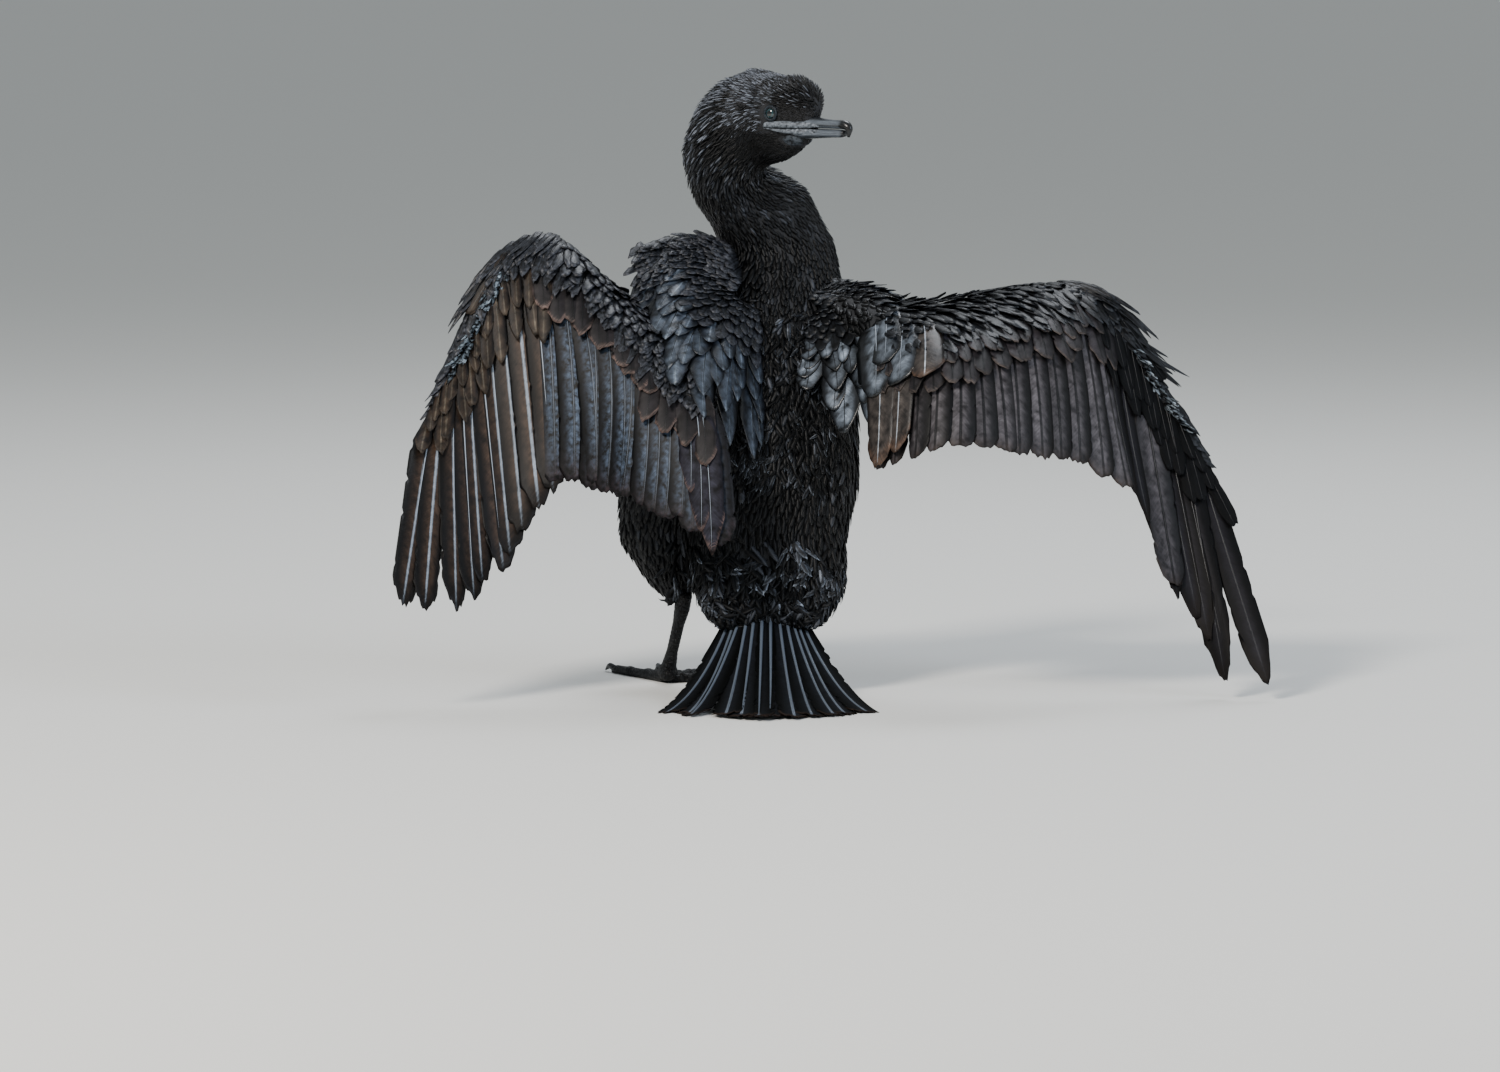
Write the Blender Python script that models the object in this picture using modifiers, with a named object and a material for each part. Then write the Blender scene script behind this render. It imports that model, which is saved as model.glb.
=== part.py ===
"""A cormorant that dries its wings, life size, seen from behind in its first view.

Frame: +Y is the way the bird's back is turned from, so its tail points to -Y; +X is to its right wing;
+Z is up, and the feet and the tail rest on Z = 0. Metres throughout.
"""
from math import cos, pi, radians, sin

import bmesh
import bpy
from mathutils import Matrix, Vector

MM = 0.001
GAP = 0.3 * MM
CENTRE_X = 36.0
CENTRE_Y = -25.0

# Driving sizes of the bird, in millimetres.
EYE_R = 4.4
EYE_OUT = 14.0
EYE_FORWARD = 1.0
MOUTH_LEVEL = -9.0
HEAD_TURN = radians(50.0)
MOUTH_SLIT = 0.8
GAPE = -9.0
TOE_LENGTHS = (70.0, 60.0, 43.0, 25.0)
WEB_THICK = 1.3
VANE_THICK = 0.55
QUILL_RIDGE = 0.35
STACK_STEP = 1.0

PRIMARIES = 10
SECONDARIES = 12
TAIL_FEATHERS = 12
TAIL_COVERTS = 7
SECONDARY_WIDTH = 21.0
PRIMARY_WIDTH = 21.0
RECTRIX_WIDTH = 19.0
TAIL_LAYER = 0.9
BACK = Vector((0.0, -1.0, 0.35))
BODY_DETAIL = 0.03
HEAD_DETAIL = 0.075
SAME_PLANE = radians(1.0)
SHARP = radians(35.0)


def at(x, y, z):
    """A point given in millimetres, moved so that the finished bird is centred over the origin."""
    return Vector((x - CENTRE_X, y - CENTRE_Y, z)) * MM


def catmull(values, u):
    """The value at u on a smooth curve through evenly numbered values."""
    last = len(values) - 1
    i = max(0, min(last - 1, int(u)))
    t = u - i
    a = values[i - 1] if i > 0 else values[i] * 2 - values[i + 1]
    b, c = values[i], values[i + 1]
    d = values[i + 2] if i + 2 <= last else values[i + 1] * 2 - values[i]
    return (b * 2 + (c - a) * t + (a * 2 - b * 5 + c * 4 - d) * t ** 2
            + (b * 3 - a - c * 3 + d) * t ** 3) * 0.5


class Sheet:
    """The curved surface that a coat of feathers lies on, through ribs of (lead edge, quill line, tip)."""

    def __init__(self, ribs):
        self.lead = [r[0] for r in ribs]
        self.quill = [r[1] for r in ribs]
        self.tip = [r[2] for r in ribs]
        self.last = len(ribs) - 1

    def rib(self, u):
        return catmull(self.lead, u), catmull(self.quill, u), catmull(self.tip, u)

    def lengths(self, u):
        """How far the quill line and the tip lie from the lead edge along rib u."""
        a, e, b = self.rib(u)
        return (e - a).length, (e - a).length + (b - e).length

    def point(self, u, s):
        """The point s metres from the lead edge along rib u, on a parabola through the rib's three points."""
        a, e, b = self.rib(u)
        p, q = (e - a).length, (e - a).length + (b - e).length
        slope = (e - a) / p
        bend = ((b - e) / (q - p) - slope) / q
        return a + slope * s + bend * (s * (s - p))

    def frame(self, u, s):
        """Point, and the unit vectors along the rib, across to higher u, and out of the back."""
        here = self.point(u, s)
        along = (self.point(u, s + MM) - self.point(u, s - MM)).normalized()
        step = 0.05
        across = self.point(u + step, s) - self.point(u - step, s)
        across = (across - along * across.dot(along)).normalized()
        out = across.cross(along)
        if out.dot(BACK) < 0:
            out = -out
        return here, along, across, out

    def beside(self, u, s, side):
        """The surface side metres across from rib u: its point there, the way out, its rib and length.

        Past the first and the last rib the surface goes straight on."""
        here, along, across, _ = self.frame(u, s)
        goal = here + across * side
        v, w, small = u, s, 0.05
        for _ in range(3):
            rest = goal - self.point(v, w)
            speed = (self.point(v + small, w) - self.point(v - small, w)) / (2 * small)
            turn = rest.dot(across) / speed.dot(across)
            v = max(0.0, min(self.last, v + turn))
            w += rest.dot(along) - turn * speed.dot(along)
        there, _, _, out = self.frame(v, w)
        rest = goal - there
        return there + rest - out * rest.dot(out), out, v, w

    def step(self, u, s, pitch):
        """How far apart two ribs lie around u, pitch ribs apart, measured across them, in mm."""
        low = max(0.0, min(u - pitch / 2, self.last - pitch))
        _, _, across, _ = self.frame(u, s)
        return abs((self.point(low + pitch, s) - self.point(low, s)).dot(across)) / MM

    def level_with(self, u, t, begin, end, side):
        """The surface on the line that the share t of a tier makes: side is in ribs from rib u."""
        v = max(0.0, min(self.last, u + side))
        there, _, across, out = self.frame(v, begin(v) + (end(v) - begin(v)) * t)
        per_rib = self.step(v, begin(v) + (end(v) - begin(v)) * t, 0.3) / 0.3
        return there + across * (u + side - v) * per_rib * MM, out


def new_object(name, bm):
    """A scene object with the mesh that bm holds, its faces turned outwards."""
    bmesh.ops.recalc_face_normals(bm, faces=bm.faces)
    mesh = bpy.data.meshes.new(name)
    bm.to_mesh(mesh)
    bm.free()
    obj = bpy.data.objects.new(name, mesh)
    bpy.context.scene.collection.objects.link(obj)
    return obj


def grid(columns, rows, place):
    """A plain grid of faces, each of whose corners is then moved to place(column, row)."""
    bm = bmesh.new()
    bmesh.ops.create_grid(bm, x_segments=columns, y_segments=rows, size=1.0)
    for vert in bm.verts:
        vert.co = place(round((vert.co.x + 1) * columns / 2), round((vert.co.y + 1) * rows / 2))
    bm.normal_update()
    return bm


def skin_over(name, rings):
    """A closed skin over rings of points, each with as many points as the next, with its ends filled.

    Its two sides are split into triangles alike, so that they stay apart where the body is a thin plate."""
    count = len(rings[0])
    bm = grid(count, len(rings) - 1, lambda i, j: rings[j][i % count])
    half = [face for k, face in enumerate(bm.faces) if k % count < count / 2]
    other = [face for k, face in enumerate(bm.faces) if k % count >= count / 2]
    bmesh.ops.triangulate(bm, faces=half, quad_method="FIXED")
    bmesh.ops.triangulate(bm, faces=other, quad_method="ALTERNATE")
    bmesh.ops.remove_doubles(bm, verts=bm.verts, dist=1e-7)
    bmesh.ops.holes_fill(bm, edges=bm.edges, sides=0)
    bmesh.ops.triangulate(bm, faces=[f for f in bm.faces if len(f.verts) > 3])
    return new_object(name, bm)


def loft(name, stations, side, sides=12):
    """A rounded body through stations of (centre, half width, half depth), side being its way across."""
    rings = []
    for i, (centre, wide, deep) in enumerate(stations):
        before = stations[max(i - 1, 0)][0]
        after = stations[min(i + 1, len(stations) - 1)][0]
        tangent = (after - before).normalized()
        across = (side - tangent * side.dot(tangent)).normalized()
        up = tangent.cross(across)
        rings.append([centre + across * (cos(a) * wide * MM) + up * (sin(a) * deep * MM)
                      for a in (2 * pi * k / sides for k in range(sides))])
    return skin_over(name, rings)


# How wide a feather is along its length: (share of the length, share of the width).
REMEX = ((0.0, 0.2), (0.25, 0.95), (0.82, 0.95), (1.0, 0.25))
POINTED = ((0.0, 0.3), (0.5, 1.0), (1.0, 0.08))
COVERT = ((0.0, 0.3), (0.68, 1.0), (1.0, 0.35))


def vane(sheet, u, tier, width, lift, shape, pitch, ridge=0.0, way=1, floor=None, square=False):
    """One feather on a sheet, as a thin plate with a low ridge for its quill, that leans on its neighbour.

    tier holds two functions of the rib, for how far from the lead edge roots and tips lie, in metres.
    width is in mm or, below 3, in steps to the next feather, lift is the tier's height at root and tip in
    mm, pitch the ribs to the next feather and way the side that lies uppermost. A square vane is cut
    straight across itself, any other one along its tier."""
    columns = 2 if ridge else 1
    begin, end = tier

    def place(i, j):
        t, share = shape[j]
        s = begin(u) + (end(u) - begin(u)) * t
        step = max(sheet.step(u, s, pitch), 5.0)
        side = (width if width > 3 else width * step) * share * (i / columns - 0.5)
        if square:
            here, out, v, w = sheet.beside(u, s, side * MM)
            t = max(0.0, min(1.0, (w - begin(v)) / (end(u) - begin(u))))
        else:
            here, out = sheet.level_with(u, t, begin, end, side / step * pitch)
        height = lift[0] + (lift[1] - lift[0]) * t + side * way * (STACK_STEP + ridge) / step
        if 0 < i < columns:
            height += ridge
        point = here + out * height * MM
        if floor is not None:
            point.z = max(point.z, (floor + VANE_THICK) * MM)
        return point

    bm = grid(columns, len(shape) - 1, place)
    if sum((face.normal for face in bm.faces), Vector()).dot(BACK) < 0:
        bmesh.ops.reverse_faces(bm, faces=bm.faces)
    bmesh.ops.triangulate(bm, faces=bm.faces, quad_method="FIXED")
    bmesh.ops.solidify(bm, geom=bm.faces, thickness=VANE_THICK * MM)
    if floor is not None:
        for vert in bm.verts:
            vert.co.z = max(vert.co.z, floor * MM)
    return new_object("vane", bm)


def spread(sheet, count, first, last, share):
    """Ribs for count feathers, evenly far apart where they are the given share out from the quill line."""
    steps = 60
    ribs = [first + (last - first) * k / steps for k in range(steps + 1)]
    points = []
    for u in ribs:
        reach, full = sheet.lengths(u)
        points.append(sheet.point(u, reach + (full - reach) * share))
    run = [0.0]
    for a, b in zip(points, points[1:]):
        run.append(run[-1] + (b - a).length)
    chosen, k = [], 0
    for i in range(count):
        goal = run[-1] * i / (count - 1)
        while k < steps - 1 and run[k + 1] < goal:
            k += 1
        chosen.append(ribs[k] + (ribs[k + 1] - ribs[k]) * (goal - run[k]) / (run[k + 1] - run[k]))
    return chosen


def evaluated(obj):
    """Gives obj the mesh that its modifiers make, and removes them."""
    graph = bpy.context.evaluated_depsgraph_get()
    mesh = bpy.data.meshes.new_from_object(obj.evaluated_get(graph))
    obj.modifiers.clear()
    obj.data = mesh
    return obj


def keep_largest(obj):
    """Keeps only the closed surface that holds most, and drops loose scraps and sealed hollows."""
    bm = bmesh.new()
    bm.from_mesh(obj.data)
    left, groups = set(bm.faces), []
    while left:
        todo = [left.pop()]
        group = []
        while todo:
            face = todo.pop()
            group.append(face)
            for edge in face.edges:
                for other in edge.link_faces:
                    if other in left:
                        left.discard(other)
                        todo.append(other)
        groups.append(group)

    def volume(group):
        total = 0.0
        for face in group:
            first = face.verts[0].co
            for i in range(1, len(face.verts) - 1):
                total += first.dot(face.verts[i].co.cross(face.verts[i + 1].co))
        return total

    groups.sort(key=volume)
    drop = [face for group in groups[:-1] for face in group]
    bmesh.ops.delete(bm, geom=drop, context="FACES")
    bmesh.ops.dissolve_limit(bm, angle_limit=SAME_PLANE, verts=bm.verts, edges=bm.edges)
    bmesh.ops.triangulate(bm, faces=bm.faces)
    bm.to_mesh(obj.data)
    bm.free()
    return obj


def boolean(obj, operation, other):
    """Joins or cuts obj by another object, or by all the objects of a collection, and removes those."""
    modifier = obj.modifiers.new("join", "BOOLEAN")
    modifier.operation = operation
    if isinstance(other, bpy.types.Collection):
        modifier.operand_type = "COLLECTION"
        modifier.collection = other
    else:
        modifier.object = other
    evaluated(obj)
    if isinstance(other, bpy.types.Collection):
        for piece in list(other.objects):
            bpy.data.objects.remove(piece)
        bpy.data.collections.remove(other)
    return obj


def fuse(name, pieces):
    """One closed body from pieces that overlap, under the node's name."""
    first, rest = pieces[0], pieces[1:]
    first.name = name
    first.data.name = name
    if rest:
        group = bpy.data.collections.new(name + "_pieces")
        bpy.context.scene.collection.children.link(group)
        for piece in rest:
            bpy.context.scene.collection.objects.unlink(piece)
            group.objects.link(piece)
        boolean(first, "UNION", group)
    return keep_largest(first)


def cut_clear(obj, body):
    """Cuts obj back from a body, with a gap left between them."""
    cutter = bpy.data.objects.new("cutter", body.data.copy())
    bpy.context.scene.collection.objects.link(cutter)
    cutter.hide_render = True
    swell = cutter.modifiers.new("swell", "DISPLACE")
    swell.mid_level = 0.0
    swell.strength = GAP
    evaluated(cutter)
    boolean(obj, "DIFFERENCE", cutter)
    bpy.data.objects.remove(cutter)
    return keep_largest(obj)


def trim(obj, point, normal):
    """Keeps the side of a plane that normal points to, half a gap from it."""
    bm = bmesh.new()
    bmesh.ops.create_cube(bm, size=1.0)
    block = new_object("block", bm)
    turn = normal.to_track_quat("Z", "Y").to_matrix().to_4x4()
    block.data.transform(Matrix.Translation(point + normal * (GAP / 2 - 0.5)) @ turn)
    boolean(obj, "DIFFERENCE", block)
    bpy.data.objects.remove(block)
    return obj


def copy_of(obj, name):
    twin = bpy.data.objects.new(name, obj.data.copy())
    bpy.context.scene.collection.objects.link(twin)
    return twin


def material(name, colour, roughness):
    made = bpy.data.materials.new(name)
    made.use_nodes = True
    shader = made.node_tree.nodes["Principled BSDF"]
    shader.inputs["Base Color"].default_value = (*colour, 1.0)
    shader.inputs["Roughness"].default_value = roughness
    shader.inputs["Metallic"].default_value = 0.0
    return made


# The trunk, neck and head.

TRUNK = (  # centre, half width, half depth
    ((-5, -33, 45), 36, 10),
    ((-5, -18, 54), 44, 21),
    ((-4, 2, 66), 50, 34),
    ((-4, 22, 94), 52, 44),
    ((1, 40, 130), 55, 50),
    ((3, 58, 170), 53, 50),
    ((3, 74, 206), 48, 45),
    ((4, 87, 232), 40, 38),
    ((5, 97, 254), 33, 33),
)
NECK = (
    ((5, 84, 222), 40, 38),
    ((6, 97, 244), 40, 39),
    ((4, 103, 264), 38, 36),
    ((-6, 99, 287), 34.5, 32),
    ((-29.5, 85, 309), 25.5, 25.5),
    ((-33, 77, 329), 25.5, 25),
    ((-26, 69, 346), 26, 25),
    ((-18, 62, 358), 24, 23),
    ((-11, 58, 366), 20, 19),
    ((-7, 56, 371), 13, 12),
    ((-4, 55, 374), 6, 5),
)
HEAD_AT = Vector((8.7, 49.0, 356.0))
BILL_WAY = Vector((cos(HEAD_TURN), -sin(HEAD_TURN), 0.0))
HEAD_SIDE = Vector((-sin(HEAD_TURN), -cos(HEAD_TURN), 0.0))
UP = Vector((0.0, 0.0, 1.0))
HEAD = (  # forward, up, half width, half height
    (-44, 4.5, 12, 18.5),
    (-38, 3.6, 17.5, 25),
    (-24, 1.5, 20, 26.7),
    (-8, 0.5, 19.5, 24.5),
    (6, 2.3, 17, 21.5),
    (16, 3.4, 13.3, 17),
    (22, 1.5, 10, 13.5),
    (26, -2.5, 5.5, 9),
)
JAW = (  # forward, up, half width, half height
    (-38, -8, 13, 17),
    (-24, -13.5, 15, 23.5),
    (-8, -10.5, 13.5, 22),
    (6, -8.5, 11.5, 18.5),
    (16, -6.5, 9.5, 13.5),
    (22, -6, 8.5, 11),
    (26, -5.5, 5, 8),
)


def in_head(forward, side, up):
    """A point given from between the eyes: forward to the bill, to the bird's right, and up."""
    p = HEAD_AT + BILL_WAY * forward + HEAD_SIDE * side + UP * up
    return at(*p)


def flesh(share):
    """Trunk, neck and head as one smooth body before it is parted, with that share of its faces kept."""
    x = Vector((1, 0, 0))
    pieces = [
        loft("trunk", [(at(*c), w, d) for c, w, d in TRUNK], x),
        loft("neck", [(at(*c), w, d) for c, w, d in NECK], x),
        loft("skull", [(in_head(f, 0, u), w, h) for f, u, w, h in HEAD], HEAD_SIDE),
        loft("jaw", [(in_head(f, 0, u), w, h) for f, u, w, h in JAW], HEAD_SIDE),
    ]
    body = fuse("flesh", pieces)
    remesh = body.modifiers.new("even", "REMESH")
    remesh.mode = "VOXEL"
    remesh.voxel_size = 3.0 * MM
    soft = body.modifiers.new("soft", "SMOOTH")
    soft.factor = 0.5
    soft.iterations = 8
    fewer = body.modifiers.new("fewer", "DECIMATE")
    fewer.ratio = share
    return evaluated(body)


TAIL_CUT = (at(-6, -12, 56), Vector((0.0, -0.93, -0.37)).normalized())
NECK_CUT = (at(5, 95, 247), Vector((0.05, 0.25, 1.0)).normalized())
NECK_MIDDLE = (at(-14, 92, 298), Vector((-0.5, -0.4, 0.9)).normalized())
HEAD_CUT = (at(-29, 74, 336), Vector((0.25, -0.35, 0.9)).normalized())


def part_flesh(fine, coarse):
    """Parts the flesh into head, two lengths of neck, trunk and the stump of the tail."""
    made = {}
    for name, source, above, below in (
        ("head", fine, HEAD_CUT, None),
        ("neck_upper", coarse, NECK_MIDDLE, HEAD_CUT),
        ("neck_lower", coarse, NECK_CUT, NECK_MIDDLE),
        ("torso", coarse, None, NECK_CUT),
    ):
        piece = copy_of(source, name)
        if above:
            trim(piece, *above)
        if below:
            trim(piece, below[0], -below[1])
        made[name] = keep_largest(piece)
    made["tail"] = keep_largest(trim(copy_of(made["torso"], "stump"), *TAIL_CUT))
    keep_largest(trim(made["torso"], TAIL_CUT[0], -TAIL_CUT[1]))
    return made


def adopt(made, name, place):
    """Names and places what an operator has just made, and moves it to the scene's own list."""
    for holder in list(made.users_collection):
        holder.objects.unlink(made)
    bpy.context.scene.collection.objects.link(made)
    made.matrix_world = Matrix.Identity(4)
    made.data.transform(place)
    made.name = name
    return made


def eye(name, side):
    bpy.ops.mesh.primitive_uv_sphere_add(segments=12, ring_count=6, radius=EYE_R * MM)
    return adopt(bpy.context.object, name, Matrix.Translation(in_head(EYE_FORWARD, side * EYE_OUT, 0)))


def lid(side):
    """The raised ring of bare skin round an eye."""
    way = (HEAD_SIDE * side + BILL_WAY * 0.3).normalized()
    bpy.ops.mesh.primitive_torus_add(major_segments=14, minor_segments=4, major_radius=4.3 * MM,
                                     minor_radius=1.2 * MM)
    turn = way.to_track_quat("Z", "Y").to_matrix().to_4x4()
    place = Matrix.Translation(in_head(EYE_FORWARD + 0.6, side * (EYE_OUT + 1.7), 0))
    return adopt(bpy.context.object, "lid", place @ turn)


UPPER_BILL = (  # forward, height of the middle over the mouth line, half width, half height
    (4, 3.8, 9.0, 3.6),
    (16, 4.2, 7.6, 4.0),
    (28, 3.5, 5.2, 3.3),
    (42, 3.0, 4.0, 2.8),
    (52, 3.0, 3.7, 2.8),
)
BILL_HOOK = (
    (48, 2.8, 3.2, 2.4),
    (54.5, 2.7, 3.4, 2.8),
    (57.6, 0.3, 2.3, 2.2),
    (57.0, -4.6, 0.9, 0.8),
)
LOWER_BILL = (
    (4, -3.6, 9.4, 3.4),
    (16, -3.6, 7.8, 3.4),
    (28, -3.2, 5.2, 3.2),
    (42, -2.8, 3.8, 2.7),
    (50, -2.7, 3.4, 2.5),
    (53.6, -2.4, 2.2, 1.9),
)


def horn(name, stations):
    return loft(name, [(in_head(f, 0, MOUTH_LEVEL + u), w, h) for f, u, w, h in stations],
                HEAD_SIDE, sides=8)


def bills():
    """Both halves of the bill, parted along the mouth; the upper one's nail hooks over the lower one."""
    upper = trim(horn("upper", UPPER_BILL), in_head(0, 0, MOUTH_LEVEL), UP)
    lower = trim(horn("bill_lower", LOWER_BILL), in_head(0, 0, MOUTH_LEVEL), -UP)
    return fuse("bill_upper", [upper, horn("hook", BILL_HOOK)]), lower


def cut_mouth(head):
    """Cuts the line of the mouth into the head, from the gape behind the eye to the bill."""
    length = 40 * MM
    bm = bmesh.new()
    bmesh.ops.create_cube(bm, size=1.0)
    slit = new_object("slit", bm)
    slit.data.transform(Matrix.Diagonal((length, 60 * MM, MOUTH_SLIT * MM, 1.0)))
    turn = Matrix.Rotation(-HEAD_TURN, 4, "Z")
    place = Matrix.Translation(in_head(GAPE, 0, MOUTH_LEVEL) + BILL_WAY * length / 2)
    slit.data.transform(place @ turn)
    boolean(head, "DIFFERENCE", slit)
    bpy.data.objects.remove(slit)


# The legs.

LEGS = {
    "left": {
        "thigh": (((-36, 50, 138), 34, 36), ((-68, 50, 116), 41, 34), ((-71, 42, 90), 29, 26),
                  ((-64, 33, 66), 17, 17), ((-58, 27, 54), 9.5, 9)),
        "ankle": (-57, 26, 52),
        "foot": (-67, 44, 7),
        "outer": -1,
        "toes": (30, 6, -26, -82),
    },
    "right": {
        "thigh": (((22, 56, 138), 26, 34), ((26, 64, 112), 27, 32), ((25, 54, 88), 22, 24),
                  ((20, 44, 66), 15, 16), ((17, 38, 54), 9, 9)),
        "ankle": (16, 37, 52),
        "foot": (10, 58, 7),
        "outer": 1,
        "toes": (14, -12, -42, -98),
    },
}


def tarsus(leg, side):
    """The bare shank, flat from side to side, with its swollen joints."""
    a, b = Vector(leg["ankle"]), Vector(leg["foot"])
    shank = ((-0.06, 5.0, 6.2), (0.08, 5.2, 7.0), (0.3, 3.9, 5.4), (0.7, 3.7, 5.0), (0.95, 5.2, 5.6))
    stations = [(at(*(a + (b - a) * t)), w, d) for t, w, d in shank]
    return loft(f"tarsus_{side}", stations, Vector((1, 0, 0)), sides=12)


def toe_way(leg, angle):
    return Vector((leg["outer"] * sin(radians(angle)), cos(radians(angle)), 0.0))


TOE = (  # share of the length, half width, half depth
    (0.0, 5.2, 4.4), (0.42, 3.4, 3.3), (0.92, 3.1, 3.0), (1.0, 1.6, 2.2),
)
CLAW = ((-3, 1.9, 1.9, 2.8), (5, 1.5, 1.8, 3.6), (10, 0.4, 0.6, 0.9))
SOLE_PRESSED = 0.5


def foot(leg, side):
    """Four toes in one web, with curved claws, flat underneath."""
    root = Vector(leg["foot"])
    heel = Vector((root.x, root.y, 0.0))
    pieces = [loft("ball", [(at(root.x, root.y - 8, 5), 4.5, 4.0), (at(*root), 6.5, 6.4),
                            (at(root.x, root.y + 9, 4), 6.0, 4.6)], Vector((1, 0, 0)), sides=8)]
    rim = []
    for length, angle in zip(TOE_LENGTHS, leg["toes"]):
        way = toe_way(leg, angle)
        across = Vector((way.y, -way.x, 0.0))
        pieces.append(loft("toe", [(at(*(heel + way * length * t + UP * (d - SOLE_PRESSED))), w, d)
                                   for t, w, d in TOE], across, sides=6))
        pieces.append(loft("claw", [(at(*(heel + way * (length + f) + UP * z)), w, d)
                                    for f, w, d, z in CLAW], across, sides=5))
        rim.append(heel + way * length * 0.95)
    outline = [heel - toe_way(leg, leg["toes"][1]) * 5]
    for near, far in zip(rim, rim[1:]):
        middle = (near + far) / 2
        outline += [near, middle + (heel - middle) * 0.16]
    outline.append(rim[-1])
    web = [[at(p.x, p.y, z) for p in outline] for z in (-1.0, WEB_THICK)]
    pieces.append(skin_over("web", web))
    return keep_largest(trim(fuse(f"foot_{side}", pieces), Vector((0, 0, -GAP / 2)), UP))


# The wings. Each rib holds the lead edge, the line of the quills and the feather tips.

HAND_LEAD = 9.0


def hand_rib(quill, tip, lead=HAND_LEAD):
    """A rib of the hand: its lead edge lies straight ahead of its quill."""
    e, b = at(*quill), at(*tip)
    return e + (e - b).normalized() * lead * MM, e, b


def arm_rib(lead, quill, tip):
    return at(*lead), at(*quill), at(*tip)


WINGS = {
    "right": {
        "ribs": [
            arm_rib((52, 65, 240), (60, -19, 212), (61, -54, 137)),
            arm_rib((90, 66, 236), (101, -45, 216), (99, -100, 152)),
            arm_rib((130, 64, 245), (140, -10, 226), (146, -84, 152)),
            arm_rib((170, 58, 250), (177, 20, 232), (186, -50, 140)),
            arm_rib((202, 50, 245), (203, 38, 232), (219, -28, 124)),
            hand_rib((220, 36, 213), (238, -26, 84)),
            hand_rib((237, 33, 186), (262, -34, 36)),
            hand_rib((254, 28, 162), (285, -58, 8)),
            hand_rib((263, 24, 148), (301, -62, 5), 5.0),
        ],
        "shoulder": (40, 65, 226),
        "elbow": (97, -38, 212),
        "scapular_ribs": [
            arm_rib((43, 72, 248), (68, 58, 244), (92, 34, 226)),
            arm_rib((39, 62, 244), (74, 4, 233), (90, -60, 184)),
            arm_rib((34, 54, 240), (56, 2, 216), (62, -46, 164)),
            arm_rib((27, 50, 236), (40, 12, 206), (43, -22, 158)),
            arm_rib((18, 48, 230), (22, 26, 206), (20, 7, 184)),
        ],
    },
    "left": {
        "ribs": [
            arm_rib((-70, 66, 243), (-43, -50, 180), (-33, -88, 93)),
            arm_rib((-84, 60, 236), (-56, -42, 186), (-53, -80, 106)),
            arm_rib((-104, 52, 252), (-84, -15, 217), (-84, -64, 118)),
            arm_rib((-126, 44, 274), (-116, 12, 248), (-108, -46, 124)),
            arm_rib((-148, 36, 280), (-146, 26, 267), (-132, -36, 126)),
            hand_rib((-172, 20, 257), (-150, -48, 96)),
            hand_rib((-188, 9, 226), (-170, -66, 70)),
            hand_rib((-202, -3, 198), (-203, -112, 56)),
            hand_rib((-210, -9, 183), (-228, -138, 64), 5.0),
        ],
        "shoulder": (-40, 65, 238),
        "elbow": (-52, -38, 184),
        "scapular_ribs": [
            arm_rib((-42, 78, 275), (-70, 64, 276), (-97, 46, 262)),
            arm_rib((-39, 70, 268), (-66, 38, 253), (-88, 6, 218)),
            arm_rib((-34, 56, 254), (-52, 6, 230), (-57, -60, 180)),
            arm_rib((-24, 48, 244), (-32, -2, 214), (-36, -56, 160)),
            arm_rib((-10, 48, 236), (-12, 16, 196), (-9, -16, 136)),
        ],
    },
}
WRIST_RIB = 4.0
ARM_DEPTH = (15.0, 16.0, 13.0, 11.0, 9.5, 8.0, 6.5, 5.0, 3.4)
QUILL_SUNK = 3.0
COVERT_OVERLAP = 1.45
SKIN_PAST_QUILLS = 13.0


def arm_core(sheet, first, last, count, bends):
    """The flesh of arm or hand with the skin before it: it carries the feathers and lies under them.

    bends are the shares of the way to the quills where its back may bend."""
    rings = []
    for i in range(count):
        u = first + (last - first) * i / (count - 1)
        reach, _ = sheet.lengths(u)
        deep = catmull(ARM_DEPTH, u) * MM
        thin = min(0.5 * deep, 4.0 * MM)
        past = SKIN_PAST_QUILLS * MM
        section = (
            (0.0, -0.5 * thin), *((bend * reach, 0.0) for bend in bends), (reach + past, 0.3 * MM),
            (reach + past, -3.0 * MM), (reach - 0.2 * past, -deep), (0.12 * reach, -thin),
        )
        ring = []
        for s, height in section:
            here, _, _, out = sheet.frame(u, s)
            ring.append(here + out * height)
        rings.append(ring)
    return skin_over("core", rings)


def humerus(wing):
    a, b = Vector(wing["shoulder"]), Vector(wing["elbow"])
    stations = ((-0.1, 20, 22), (0.4, 21, 21), (1.05, 9, 9))
    return loft("humerus", [(at(*(a + (b - a) * t)), w, d) for t, w, d in stations],
                Vector((1, 0, 0)), sides=6)


def pitches(ribs):
    """Each of the ribs with how many ribs off the next feather is."""
    last = len(ribs) - 1
    found = []
    for i, u in enumerate(ribs):
        low, high = max(i - 1, 0), min(i + 1, last)
        found.append((u, (ribs[high] - ribs[low]) / (high - low)))
    return found


def from_quills(sheet, start, length=None):
    """A tier that starts start mm past the quill line, and is length mm long or ends at the tips."""
    def begin(rib):
        return sheet.lengths(rib)[0] + start * MM

    def end(rib):
        return sheet.lengths(rib)[1] if length is None else begin(rib) + length * MM

    return begin, end


def shares(sheet, root, tip):
    """A tier that runs between two shares of the sheet's length."""
    return (lambda rib: sheet.lengths(rib)[1] * root), (lambda rib: sheet.lengths(rib)[1] * tip)


def flight_feathers(sheet, ribs, width, ridge, square):
    """Primaries or secondaries, from their quills in the flesh to their tips."""
    tier = from_quills(sheet, -QUILL_SUNK)
    return [vane(sheet, u, tier, width, (-1.5, 0.0), REMEX, pitch, ridge, square=square)
            for u, pitch in pitches(ribs)]


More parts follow.
